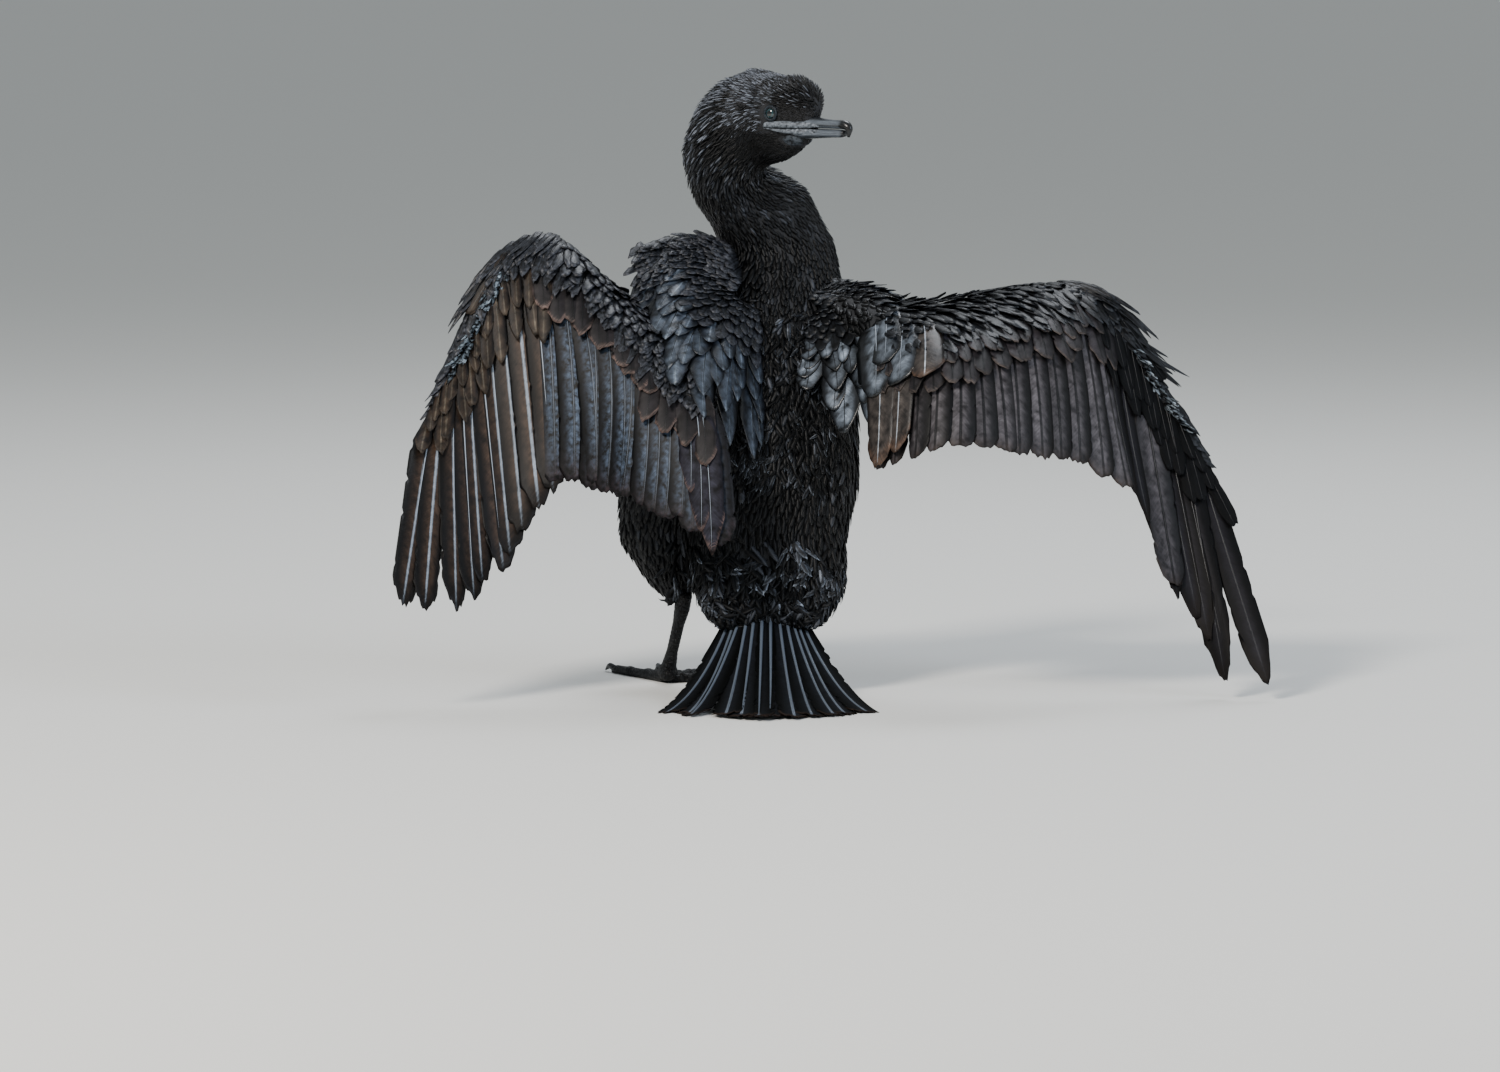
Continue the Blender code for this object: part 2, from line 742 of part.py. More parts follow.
# Tiers of coverts: where the roots lie past the quills, length, lift at the tip, all in mm.
ARM_TIERS = ((-5, 54, 4.2), (-27, 42, 3.4), (-49, 38, 2.8))
HAND_TIERS = ((-3, 52, 4.2),)
MARGIN_LENGTH = 26
MARGIN_LIFT = (-0.6, 4.6)


def coverts(sheet, ribs, tiers, square):
    """Coverts on the given ribs in tiers, and one row along the lead edge."""
    made = []
    rows = [(from_quills(sheet, start, length), (-0.6, rise)) for start, length, rise in tiers]
    margin = (lambda rib: 1.5 * MM), (lambda rib: (1.5 + MARGIN_LENGTH) * MM)
    for tier, lift in (*rows, (margin, MARGIN_LIFT)):
        for u, pitch in pitches(ribs):
            if tier is margin or tier[0](u) > 5 * MM:
                made.append(vane(sheet, u, tier, COVERT_OVERLAP, lift, COVERT, pitch, square=square))
    return made


# Tiers of scapulars: count, root and tip as shares of the sheet's length, width, lift at the tip.
CAPE_TIERS = ((4, 0.50, 1.0, 22, 1.6), (4, 0.26, 0.76, 22, 3.4), (4, 0.04, 0.52, 22, 4.2))


def scapulars(sheet):
    """Three tiers of pointed feathers that hang from the shoulder over the wing's root."""
    made = []
    for k, (count, root, tip, width, rise) in enumerate(CAPE_TIERS):
        inset = 0.15 + 0.12 * k
        for u, pitch in pitches(spread(sheet, count, inset, sheet.last - inset, 0.2)):
            made.append(vane(sheet, u, shares(sheet, root, tip), width, (-1.6, rise), POINTED, pitch))
    return made


def scapular_pad(sheet):
    """The thick skin of the shoulder that the scapulars grow from."""
    rings = []
    count = 6
    for i in range(count):
        u = sheet.last * i / (count - 1)
        _, full = sheet.lengths(u)
        thick = (5 if i in (0, count - 1) else 12) * MM
        section = ((0.0, -thick), (0.0, -1.0 * MM), (0.3 * full, -0.4 * MM), (0.62 * full, -1.3 * MM),
                   (0.62 * full, -3.0 * MM), (0.3 * full, -thick))
        ring = []
        for s, height in section:
            here, _, _, out = sheet.frame(u, s)
            ring.append(here + out * height)
        rings.append(ring)
    return skin_over("pad", rings)


def wing(side, body):
    """The arm and the hand of one wing, parted at the wrist."""
    data = WINGS[side]
    sheet = Sheet(data["ribs"])
    cape = Sheet(data["scapular_ribs"])
    wrist, _, across, _ = sheet.frame(WRIST_RIB, sheet.lengths(WRIST_RIB)[0] + 40 * MM)
    arm = [arm_core(sheet, 0.0, 4.08, 9, (0.12, 0.42, 0.72, 1.0)), humerus(data), scapular_pad(cape)]
    ribs = spread(sheet, SECONDARIES, 0.15, 3.9, 0.35)
    arm += flight_feathers(sheet, ribs, SECONDARY_WIDTH, 0.0, False)
    arm += coverts(sheet, ribs[2:], ARM_TIERS, False)
    arm += scapulars(cape)
    arm = keep_largest(trim(fuse(f"wing_{side}_arm", arm), wrist, -across))
    cut_clear(arm, body)
    ribs = spread(sheet, PRIMARIES, 4.15, 8.0, 0.35)
    hand = [arm_core(sheet, 3.9, 8.0, 5, (0.3,))]
    hand += flight_feathers(sheet, ribs, PRIMARY_WIDTH, QUILL_RIDGE, True)
    hand += coverts(sheet, ribs[:-1], HAND_TIERS, True)
    hand = keep_largest(trim(fuse(f"wing_{side}_hand", hand), wrist, across))
    return arm, hand


# The tail, laid on the floor.

TAIL_RIBS = [
    arm_rib((-27, -14, 50), (-49, -80, 12.0), (-69, -140, 0.0)),
    arm_rib((-17, -17, 54), (-29, -88, 15.0), (-39, -167, 0.5)),
    arm_rib((-6, -18, 56), (-7, -92, 17.0), (-8, -184, 0.8)),
    arm_rib((5, -17, 54), (15, -88, 15.0), (23, -169, 0.5)),
    arm_rib((15, -14, 50), (38, -80, 12.0), (58, -142, 0.0)),
]


def tail(stump):
    """Twelve stiff feathers in a fan, the middle pair on top, under a tier of short coverts."""
    sheet = Sheet(TAIL_RIBS)
    pieces = [stump]
    middle = (TAIL_FEATHERS - 1) / 2
    for i, (u, pitch) in enumerate(pitches(spread(sheet, TAIL_FEATHERS, 0.0, sheet.last, 0.8))):
        under = abs(i - middle) / middle
        lift = (-1.5 * under, 1.6 - 1.2 * under)
        pieces.append(vane(sheet, u, shares(sheet, 0.0, 1.0), RECTRIX_WIDTH, lift, REMEX, pitch,
                           QUILL_RIDGE, way=1 if i < middle else -1, floor=TAIL_LAYER * (1 - under)))
    for u, pitch in pitches(spread(sheet, TAIL_COVERTS, 0.2, sheet.last - 0.2, 0.0)):
        pieces.append(vane(sheet, u, shares(sheet, 0.01, 0.3), 15, (1.5, 5.0), POINTED, pitch))
    return keep_largest(trim(fuse("tail", pieces), *TAIL_CUT))


def clear_scene():
    for obj in list(bpy.data.objects):
        bpy.data.objects.remove(obj)


# The finish of each kind of node: colour, roughness.
FINISHES = {
    "head": ((0.010, 0.010, 0.013), 0.6),
    "neck": ((0.011, 0.011, 0.014), 0.55),
    "torso": ((0.010, 0.011, 0.014), 0.55),
    "thigh": ((0.010, 0.011, 0.014), 0.6),
    "wing": ((0.020, 0.021, 0.028), 0.45),
    "tail": ((0.012, 0.013, 0.017), 0.5),
    "tarsus": ((0.020, 0.020, 0.022), 0.5),
    "foot": ((0.018, 0.018, 0.020), 0.5),
    "bill": ((0.090, 0.095, 0.110), 0.35),
    "eye": ((0.020, 0.160, 0.150), 0.05),
}


def finish(nodes):
    """Gives each node its material and an origin at its middle, and stands all of them under one empty."""
    group = bpy.data.collections.new("cormorant")
    bpy.context.scene.collection.children.link(group)
    stand = bpy.data.objects.new("cormorant_frame", None)
    group.objects.link(stand)
    for obj in nodes:
        colour, roughness = FINISHES[obj.name.split("_")[0]]
        obj.data.materials.clear()
        obj.data.materials.append(material(f"{obj.name}_finish", colour, roughness))
        for holder in list(obj.users_collection):
            holder.objects.unlink(obj)
        group.objects.link(obj)
        middle = sum((vert.co for vert in obj.data.vertices), Vector()) / len(obj.data.vertices)
        obj.data.transform(Matrix.Translation(-middle))
        obj.location = middle
        obj.parent = stand
        obj.data.shade_smooth()
        obj.data.set_sharp_from_angle(angle=SHARP)


def main():
    clear_scene()
    body = flesh(BODY_DETAIL)
    fine = flesh(HEAD_DETAIL)
    made = part_flesh(fine, body)
    nodes = []
    balls = {side: eye(f"eye_{side}", sign) for side, sign in (("right", 1), ("left", -1))}
    head = fuse("head", [made["head"], lid(1), lid(-1)])
    for ball in balls.values():
        cut_clear(head, ball)
    nodes += [cut_clear(half, head) for half in bills()]
    cut_mouth(head)
    for side, leg in LEGS.items():
        thigh = loft(f"thigh_{side}", [(at(*c), w, d) for c, w, d in leg["thigh"]], Vector((1, 0, 0)))
        cut_clear(thigh, body)
        shank = cut_clear(cut_clear(tarsus(leg, side), thigh), body)
        nodes += [thigh, shank, cut_clear(foot(leg, side), shank)]
    nodes += wing("right", body)
    nodes += wing("left", body)
    nodes.append(tail(made["tail"]))
    nodes += [head, made["neck_upper"], made["neck_lower"], made["torso"], *balls.values()]
    for spare in (body, fine):
        bpy.data.objects.remove(spare)
    finish(nodes)


main()
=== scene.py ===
"""The looks of a life-size cormorant that dries its wings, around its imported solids."""
from math import cos, pi, radians, sin

import bmesh
import bpy
import numpy as np
from mathutils import Matrix, Vector, noise
from mathutils.bvhtree import BVHTree
from mathutils.kdtree import KDTree


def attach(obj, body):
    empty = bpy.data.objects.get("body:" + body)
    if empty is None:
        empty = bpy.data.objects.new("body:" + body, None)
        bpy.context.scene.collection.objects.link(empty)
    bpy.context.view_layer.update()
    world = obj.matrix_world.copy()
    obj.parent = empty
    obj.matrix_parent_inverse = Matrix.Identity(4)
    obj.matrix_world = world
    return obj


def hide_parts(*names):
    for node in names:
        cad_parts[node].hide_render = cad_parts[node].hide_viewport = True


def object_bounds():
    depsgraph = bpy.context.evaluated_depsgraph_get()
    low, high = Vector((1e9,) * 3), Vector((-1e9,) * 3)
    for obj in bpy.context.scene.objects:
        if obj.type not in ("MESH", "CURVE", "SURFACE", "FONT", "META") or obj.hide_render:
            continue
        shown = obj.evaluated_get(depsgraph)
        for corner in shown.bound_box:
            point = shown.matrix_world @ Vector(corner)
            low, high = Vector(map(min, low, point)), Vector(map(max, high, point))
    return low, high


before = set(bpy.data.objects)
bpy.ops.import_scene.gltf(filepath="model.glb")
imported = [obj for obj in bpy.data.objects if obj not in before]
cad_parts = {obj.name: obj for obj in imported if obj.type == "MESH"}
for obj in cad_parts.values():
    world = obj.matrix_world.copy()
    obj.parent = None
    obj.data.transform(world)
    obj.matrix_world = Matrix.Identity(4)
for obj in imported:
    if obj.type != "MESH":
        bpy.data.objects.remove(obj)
cad_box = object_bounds()


# The studio: a plain pale floor under a plain pale sky, with one large soft light from the upper left,
# a weaker one from the right, and one from above and behind that rims the wings. The camera stands as
# far off as a long lens would, five degrees above the horizon.

MM = 0.001
CAMERA_DISTANCE = 5.0
CAMERA_RISE = radians(5.0)
SHOWN_WIDTH = 0.93
TARGET = Vector((-0.0515, 0.025, 0.0))
TARGET_UP = 0.0955
BIRD_MIDDLE = Vector((0.0, 0.0, 0.17))
SENSOR = 36.0


def linear(hex_colour):
    """An sRGB colour such as "8a8f98" as the linear values that a shader takes."""
    parts = [int(hex_colour[i:i + 2], 16) / 255 for i in (0, 2, 4)]
    return tuple(p / 12.92 if p <= 0.04045 else ((p + 0.055) / 1.055) ** 2.4 for p in parts) + (1.0,)


def new_finish(name, gloss=0.5, **settings):
    """A material with its shader's specular level and other sockets set."""
    made = bpy.data.materials.new(name)
    made.use_nodes = True
    sockets = made.node_tree.nodes["Principled BSDF"].inputs
    sockets["Specular IOR Level"].default_value = gloss
    for key, value in settings.items():
        sockets[key.replace("_", " ").title()].default_value = value
    return made


def area_light(name, place, size, power, colour):
    """A square soft light that looks at the bird."""
    light = bpy.data.lights.new(name, "AREA")
    light.shape = "SQUARE"
    light.size = size
    light.energy = power
    light.color = linear(colour)[:3]
    made = bpy.data.objects.new(name, light)
    made.location = place
    made.rotation_euler = (BIRD_MIDDLE - Vector(place)).to_track_quat("-Z", "Y").to_euler()
    bpy.context.scene.collection.objects.link(made)


look_way = Vector((0.0, cos(CAMERA_RISE), -sin(CAMERA_RISE)))
look_up = Vector((0.0, sin(CAMERA_RISE), cos(CAMERA_RISE)))
lens = bpy.data.cameras.new("camera")
lens.sensor_width = SENSOR
lens.lens = SENSOR * CAMERA_DISTANCE / SHOWN_WIDTH
lens.clip_start, lens.clip_end = 0.1, 100.0
camera = bpy.data.objects.new("camera", lens)
camera.location = TARGET + look_up * TARGET_UP - look_way * CAMERA_DISTANCE
camera.rotation_euler = look_way.to_track_quat("-Z", "Y").to_euler()
bpy.context.scene.collection.objects.link(camera)
bpy.context.scene.camera = camera

area_light("key", (-1.5, -2.1, 2.3), 0.7, 105.0, "fff8f0")
area_light("fill", (2.2, -1.2, 1.3), 1.4, 34.0, "e4eeff")
area_light("rim", (0.3, 1.5, 2.2), 1.0, 30.0, "f4f8ff")
sky = bpy.data.worlds.new("sky")
sky.use_nodes = True
glow = sky.node_tree.nodes["Background"]
glow.inputs["Color"].default_value = linear("dfe6ea")
glow.inputs["Strength"].default_value = 0.5
bpy.context.scene.world = sky

# Painted board: matt and nearly white, so that the floor melts into the sky.
floor_finish = new_finish("matt_painted_floor", base_color=linear("e4e4e0"), roughness=0.9)
floor_shape = bmesh.new()
bmesh.ops.create_grid(floor_shape, x_segments=1, y_segments=1, size=30.0)
floor_mesh = bpy.data.meshes.new("floor")
floor_shape.to_mesh(floor_mesh)
floor_shape.free()
floor_mesh.materials.append(floor_finish)
floor = bpy.data.objects.new("floor", floor_mesh)
bpy.context.scene.collection.objects.link(floor)


# The skin: one closed body from the bill's root to the tail's, with the arms of both wings. It is the
# dark skin and down under the coat, seen only between the small feathers, and is set in from the
# solids by the depth of the coat that grows on it.

CENTRE_X = 36.0
CENTRE_Y = -25.0
HEAD_TURN = radians(50.0)
HEAD_AT = np.array((8.7, 49.0, 356.0))
BILL_WAY = np.array((cos(HEAD_TURN), -sin(HEAD_TURN), 0.0))
HEAD_SIDE = np.array((-sin(HEAD_TURN), -cos(HEAD_TURN), 0.0))
UP = np.array((0.0, 0.0, 1.0))
BACK = np.array((0.0, -1.0, 0.35))
VOXEL = 2.2 * MM
ARM_DEPTH = np.array((15.0, 16.0, 13.0, 11.0, 9.5, 8.0, 6.5, 5.0, 3.4))
SKIN_PAST_QUILLS = 11.0
UNDER_SHEET = 0.6 * MM
GAP_FILL = 0.35 * MM
REMESH_SMOOTHING = 6
# Stations of the rump's place, half width and half depth, and of the upper arm's share, the same.
STUMP = (((-5, -33, 45), 34, 9), ((-5, -18, 54), 43, 20), ((-4, 2, 66), 48, 32), ((-4, 12, 80), 46, 32))
UPPER_ARM = ((-0.1, 19, 21), (0.4, 20, 20), (1.05, 8, 8))


def at(x, y, z):
    """A point given in millimetres of the bird's own measures, in the frame of the solids."""
    return np.array((x - CENTRE_X, y - CENTRE_Y, z)) * MM


def in_head(forward, side, up):
    """A point given from between the eyes: forward to the bill, to the bird's right, and up."""
    return at(*(HEAD_AT + BILL_WAY * forward + HEAD_SIDE * side + UP * up))


def unit(vectors):
    """The vectors scaled to length one."""
    return vectors / np.maximum(np.linalg.norm(vectors, axis=-1, keepdims=True), 1e-12)


def along_curve(values, u):
    """The values at u on a smooth curve through evenly numbered ones."""
    values, u = np.asarray(values, float), np.asarray(u, float)
    padded = np.concatenate([[2 * values[0] - values[1]], values, [2 * values[-1] - values[-2]]])
    i = np.clip(np.floor(u).astype(int), 0, len(values) - 2)
    t = (u - i).reshape(u.shape + (1,) * (values.ndim - 1))
    a, b, c, d = (padded[i + k] for k in range(4))
    return (2 * b + (c - a) * t + (2 * a - 5 * b + 4 * c - d) * t ** 2 + (3 * b - a - 3 * c + d) * t ** 3) / 2


class Sheet:
    """The curved surface that a row of feathers lies on, through ribs of (lead edge, quill line, tip)."""

    def __init__(self, ribs):
        self.ribs = np.array([[at(*point) for point in rib] for rib in ribs])
        self.last = len(ribs) - 1

    def lengths(self, u):
        """How far the quill line and the tip lie from the lead edge along rib u."""
        a, e, b = np.moveaxis(along_curve(self.ribs, u), -2, 0)
        reach = np.linalg.norm(e - a, axis=-1)
        return reach, reach + np.linalg.norm(b - e, axis=-1)

    def point(self, u, s):
        """The point s metres from the lead edge along rib u."""
        a, e, b = np.moveaxis(along_curve(self.ribs, u), -2, 0)
        p = np.linalg.norm(e - a, axis=-1)[..., None]
        q = p + np.linalg.norm(b - e, axis=-1)[..., None]
        s = np.asarray(s)[..., None]
        slope = (e - a) / p
        return a + slope * s + ((b - e) / (q - p) - slope) / q * (s * (s - p))

    def frame(self, u, s):
        """Point, and the unit vectors along the rib, across to higher u, and out of the back."""
        along = unit(self.point(u, s + MM) - self.point(u, s - MM))
        across = self.point(u + 0.05, s) - self.point(u - 0.05, s)
        across = unit(across - along * (across * along).sum(-1, keepdims=True))
        out = np.cross(across, along)
        out *= np.where(out @ BACK < 0, -1.0, 1.0)[..., None]
        return self.point(u, s), along, across, out

    def beside(self, u, s, side):
        """The points of the surface side metres across from rib u, and the way out of the back there."""
        u = np.broadcast_to(np.asarray(u, float), np.shape(s))
        here, along, across, _ = self.frame(u, s)
        goal = here + across * side[..., None]
        v, w = u.copy(), np.array(s, float)
        for _ in range(3):
            rest = goal - self.point(v, w)
            speed = (self.point(v + 0.05, w) - self.point(v - 0.05, w)) / 0.1
            turn = (rest * across).sum(-1) / np.maximum((speed * across).sum(-1), 4 * MM)
            turn = np.clip(turn, -0.6, 0.6)
            v = np.clip(v + turn, 0.0, self.last)
            w = w + np.clip((rest * along).sum(-1) - turn * (speed * along).sum(-1), -0.02, 0.02)
        there, _, _, out = self.frame(v, w)
        rise = ((goal - there) * out).sum(-1, keepdims=True)
        return goal - out * np.clip(rise, -0.012, 0.012), out


def hand_rib(quill, tip, lead=9.0):
    """A rib of the hand: its lead edge lies straight ahead of its quill."""
    e, b = np.array(quill, float), np.array(tip, float)
    return tuple(e + unit(e - b) * lead), quill, tip


WINGS = {
    "right": {
        "sheet": Sheet((
            ((52, 65, 240), (60, -19, 212), (61, -54, 137)),
            ((90, 66, 236), (101, -45, 216), (99, -100, 152)),
            ((130, 64, 245), (140, -10, 226), (146, -84, 152)),
            ((170, 58, 250), (177, 20, 232), (186, -50, 140)),
            ((202, 50, 245), (203, 38, 232), (219, -28, 124)),
            hand_rib((220, 36, 213), (238, -26, 84)),
            hand_rib((237, 33, 186), (262, -34, 36)),
            hand_rib((254, 28, 162), (285, -58, 8)),
            hand_rib((263, 24, 148), (301, -62, 5), 5.0),
        )),
        "cape": Sheet((
            ((43, 72, 248), (68, 58, 244), (92, 34, 226)),
            ((39, 62, 244), (74, 4, 233), (90, -60, 184)),
            ((34, 54, 240), (56, 2, 216), (62, -46, 164)),
            ((27, 50, 236), (40, 12, 206), (43, -22, 158)),
            ((18, 48, 230), (22, 26, 206), (20, 7, 184)),
        )),
        "shoulder": (40, 65, 226),
        "elbow": (97, -38, 212),
    },
    "left": {
        "sheet": Sheet((
            ((-70, 66, 243), (-43, -50, 180), (-33, -88, 93)),
            ((-84, 60, 236), (-56, -42, 186), (-53, -80, 106)),
            ((-104, 52, 252), (-84, -15, 217), (-84, -64, 118)),
            ((-126, 44, 274), (-116, 12, 248), (-108, -46, 124)),
            ((-148, 36, 280), (-146, 26, 267), (-132, -36, 126)),
            hand_rib((-172, 20, 257), (-150, -48, 96)),
            hand_rib((-188, 9, 226), (-170, -66, 70)),
            hand_rib((-202, -3, 198), (-203, -112, 56)),
            hand_rib((-210, -9, 183), (-228, -138, 64), 5.0),
        )),
        "cape": Sheet((
            ((-42, 78, 275), (-70, 64, 276), (-97, 46, 262)),
            ((-39, 70, 268), (-66, 38, 253), (-88, 6, 218)),
            ((-34, 56, 254), (-52, 6, 230), (-57, -60, 180)),
            ((-24, 48, 244), (-32, -2, 214), (-36, -56, 160)),
            ((-10, 48, 236), (-12, 16, 196), (-9, -16, 136)),
        )),
        "shoulder": (-40, 65, 238),
        "elbow": (-52, -38, 184),
    },
}


def wrapped(rings):
    """A closed body over rings of as many points each: a rolled grid with its ends filled."""
    rings = np.asarray(rings)
    rows, count = rings.shape[:2]
    bm = bmesh.new()
    bmesh.ops.create_grid(bm, x_segments=count, y_segments=rows - 1, size=1.0)
    for k, vert in enumerate(list(bm.verts)):
        vert.co = rings[k // (count + 1), (k % (count + 1)) % count]
    bmesh.ops.remove_doubles(bm, verts=bm.verts, dist=1e-7)
    bmesh.ops.holes_fill(bm, edges=bm.edges, sides=0)
    bmesh.ops.recalc_face_normals(bm, faces=bm.faces)
    return bm


def loft(stations, side, sides):
    """A rounded body through stations of (centre in metres, half width, half depth in mm)."""
    centres = np.array([s[0] for s in stations])
    tangents = unit(np.gradient(centres, axis=0))
    across = unit(side - tangents * (tangents @ side)[:, None])
    ups = np.cross(tangents, across)
    turns = np.arange(sides) * 2 * pi / sides
    wide = np.array([s[1] for s in stations])[:, None, None] * MM
    deep = np.array([s[2] for s in stations])[:, None, None] * MM
    return wrapped(centres[:, None] + across[:, None] * (np.cos(turns)[None, :, None] * wide)
                   + ups[:, None] * (np.sin(turns)[None, :, None] * deep))


def arm_body(sheet, step=0.25):
    """The flesh of a wing, which its feathers lie on: thick ahead, with the skin web before it."""
    rings = []
    for u in np.arange(0.0, sheet.last + 1e-6, step):
        reach = float(sheet.lengths(u)[0])
        deep = float(along_curve(ARM_DEPTH, u)) * MM
        thin = min(0.5 * deep, 4.0 * MM)
        past = SKIN_PAST_QUILLS * MM
        top = [(share * reach, -UNDER_SHEET) for share in (0.12, 0.42, 0.72, 1.0)]
        end = [(reach + past, -UNDER_SHEET / 2), (reach + past, -5 * UNDER_SHEET)]
        under = [(reach - 0.2 * past, -deep), (0.12 * reach, -thin)]
        places = np.array([(0.0, -0.5 * thin), *top, *end, *under])
        here, _, _, out = sheet.frame(np.full(len(places), u), places[:, 0])
        rings.append(here + out * places[:, 1:])
    return wrapped(rings)


def shoulder_pad(cape, count=9):
    """The thick skin of the shoulder under the scapulars."""
    rings = []
    for i in range(count):
        u = cape.last * i / (count - 1)
        full = float(cape.lengths(u)[1])
        thick = (5 if i in (0, count - 1) else 12) * MM
        ends = full * (0.6 + 0.25 * max(0.0, 1.0 - u / 1.2))
        places = np.array(((0.0, -thick), (0.0, -0.0016), (0.5 * ends, -0.0012), (0.92 * ends, -0.0022),
                           (ends, -0.003), (0.5 * ends, -thick)))
        here, _, _, out = cape.frame(np.full(len(places), u), places[:, 0])
        rings.append(here + out * places[:, 1:])
    return wrapped(rings)


def gathered(name, shapes):
    """One object from several bmeshes, which are freed."""
    mesh = bpy.data.meshes.new(name)
    whole = bmesh.new()
    for bm in shapes:
        bm.to_mesh(mesh)
        whole.from_mesh(mesh)
        bm.free()
    whole.to_mesh(mesh)
    whole.free()
    made = bpy.data.objects.new(name, mesh)
    bpy.context.scene.collection.objects.link(made)
    return made


def applied(obj):
    """Gives obj the mesh that its modifiers make, and removes them."""
    graph = bpy.context.evaluated_depsgraph_get()
    mesh = bpy.data.meshes.new_from_object(obj.evaluated_get(graph))
    obj.modifiers.clear()
    obj.data = mesh


def merged_copy(name):
    """A copy of a solid with its loose triangles merged, swollen to reach over the gap to the next one."""
    bm = bmesh.new()
    bm.from_mesh(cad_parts[name].data)
    bmesh.ops.remove_doubles(bm, verts=bm.verts, dist=1e-6)
    bm.normal_update()
    for vert in bm.verts:
        vert.co += vert.normal * GAP_FILL
    return bm


def tree_of(shapes):
    """A search tree over the faces of several bmeshes."""
    points, faces = [], []
    for bm in shapes:
        bm.verts.index_update()
        start = len(points)
        points += [vert.co.copy() for vert in bm.verts]
        faces += [[start + vert.index for vert in face.verts] for face in bm.faces]
    return BVHTree.FromPolygons(points, faces)


def values_of(items, name, width, kind=float):
    """One value of every item of a mesh, as rows of the given width."""
    values = np.empty(len(items) * width, kind)
    items.foreach_get(name, values)
    return values.reshape(-1, width)


def node(tree, kind, *values, out=0, **settings):
    """Adds a node and gives back its output out, by number or name.

    values go to its sockets in turn. settings are its own properties or, by number or name after "in_",
    more sockets' values. A value may also be another node's output, which is then linked."""
    made = tree.nodes.new("ShaderNode" + kind)
    sockets = dict(enumerate(values))
    for name, value in settings.items():
        if name.startswith("in_"):
            key = name[3:]
            sockets[int(key) if key.isdigit() else key] = value
        else:
            setattr(made, name, value)
    for socket, value in sockets.items():
        if isinstance(value, bpy.types.NodeSocket):
            tree.links.new(value, made.inputs[socket])
        else:
            made.inputs[socket].default_value = value
    return made.outputs[out]


def dress(finish, colour, height=None, strength=1.0, depth=0.0):
    """Links a colour to a material's shader and, where there is one, a height that is depth metres deep."""
    tree = finish.node_tree
    sockets = tree.nodes["Principled BSDF"].inputs
    tree.links.new(colour, sockets["Base Color"])
    if height:
        raised = node(tree, "Bump", in_Strength=strength, in_Distance=depth, in_Height=height)
        tree.links.new(raised, sockets["Normal"])


def settle(obj, stands_for=()):
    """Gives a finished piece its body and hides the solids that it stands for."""
    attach(obj, "root")
    if stands_for:
        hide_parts(*stands_for)


FLESH = ("head", "neck_upper", "neck_lower", "torso", "thigh_left", "thigh_right")
x_way = np.array((1.0, 0.0, 0.0))
trunk_shapes = [merged_copy(name) for name in FLESH]
trunk_shapes.append(loft([(at(*c), w, d) for c, w, d in STUMP], x_way, 24))
arm_shapes = []
for wing in WINGS.values():
    a, b = at(*wing["shoulder"]), at(*wing["elbow"])
    arm_shapes += [arm_body(wing["sheet"]), shoulder_pad(wing["cape"]),
                   loft([(a + (b - a) * t, w, d) for t, w, d in UPPER_ARM], x_way, 12)]
trunk_tree, arm_tree = tree_of(trunk_shapes), tree_of(arm_shapes)
skin = gathered("skin", trunk_shapes + arm_shapes)
even = skin.modifiers.new("even", "REMESH")
even.mode = "VOXEL"
even.voxel_size = VOXEL
soft = skin.modifiers.new("soft", "SMOOTH")
soft.factor = 0.5
soft.iterations = REMESH_SMOOTHING
applied(skin)

# How deep the coat is: thin on the face, deep on the trunk, and next to nothing over the arms.
skin_points = values_of(skin.data.vertices, "co", 3)
skin_normals = values_of(skin.data.vertices, "normal", 3)
on_trunk = np.array([trunk_tree.find_nearest(p)[3] <= arm_tree.find_nearest(p)[3] + 1e-4
                     for p in skin_points])
from_head = np.linalg.norm(skin_points - in_head(0, 0, 0), axis=1) / MM
coat_depth = np.interp(from_head, (20, 45, 90, 160), (1.2, 1.9, 3.0, 3.6)) * MM
coat_depth = np.where(on_trunk, coat_depth, 0.9 * MM)
skin_points -= skin_normals * coat_depth[:, None]
skin.data.vertices.foreach_set("co", skin_points.ravel())
skin.data.update()
skin.data.shade_smooth()

bm = bmesh.new()
bm.from_mesh(skin.data)
bmesh.ops.triangulate(bm, faces=bm.faces)
bm.to_mesh(skin.data)
bm.free()
skin.data.uv_layers.new(name="OFBake")
bpy.context.view_layer.objects.active = skin
skin.select_set(True)
bpy.ops.object.mode_set(mode="EDIT")
bpy.ops.mesh.select_all(action="SELECT")
bpy.ops.uv.smart_project(angle_limit=radians(66.0), island_margin=0.002)
bpy.ops.object.mode_set(mode="OBJECT")
skin.select_set(False)

# Skin under down: matt, dark and fluffy, so that the gaps among feathers read as shade. Its fluff is
# drawn about 1 mm wide, coarser than real, so that it shows.
skin_finish = new_finish("skin_and_down", base_color=linear("141519"), roughness=0.8)
tree = skin_finish.node_tree
fluff = node(tree, "TexNoise", node(tree, "TexCoord", out="Object"), in_Scale=900.0, in_Detail=4.0)
shade = node(tree, "Mix", fluff, in_6=linear("0b0c0e"), in_7=linear("24262b"), data_type="RGBA", out=2)
dress(skin_finish, shade, fluff, 0.6, 0.6 * MM)
skin.data.materials.clear()
skin.data.materials.append(skin_finish)
settle(skin, FLESH)


# The small feathers of head, neck, trunk and thighs: short rounded blades of barbs on a fine shaft,
# rooted in the skin and laid like tiles from the bill towards the tail. Each is a closed leaf of a few
# faces, and each region has its own size, spacing and lift.

LEAF_ROWS = (0.0, 0.2, 0.52, 0.82, 1.0)
LEAF_SHAPE = (0.0, 0.72, 1.0, 0.72, 0.0)
LEAF_RIDGE = 0.16 * MM
BARB = 0.8
BARB_SLANT = 1.2
BAKE_PATCH = 0.003


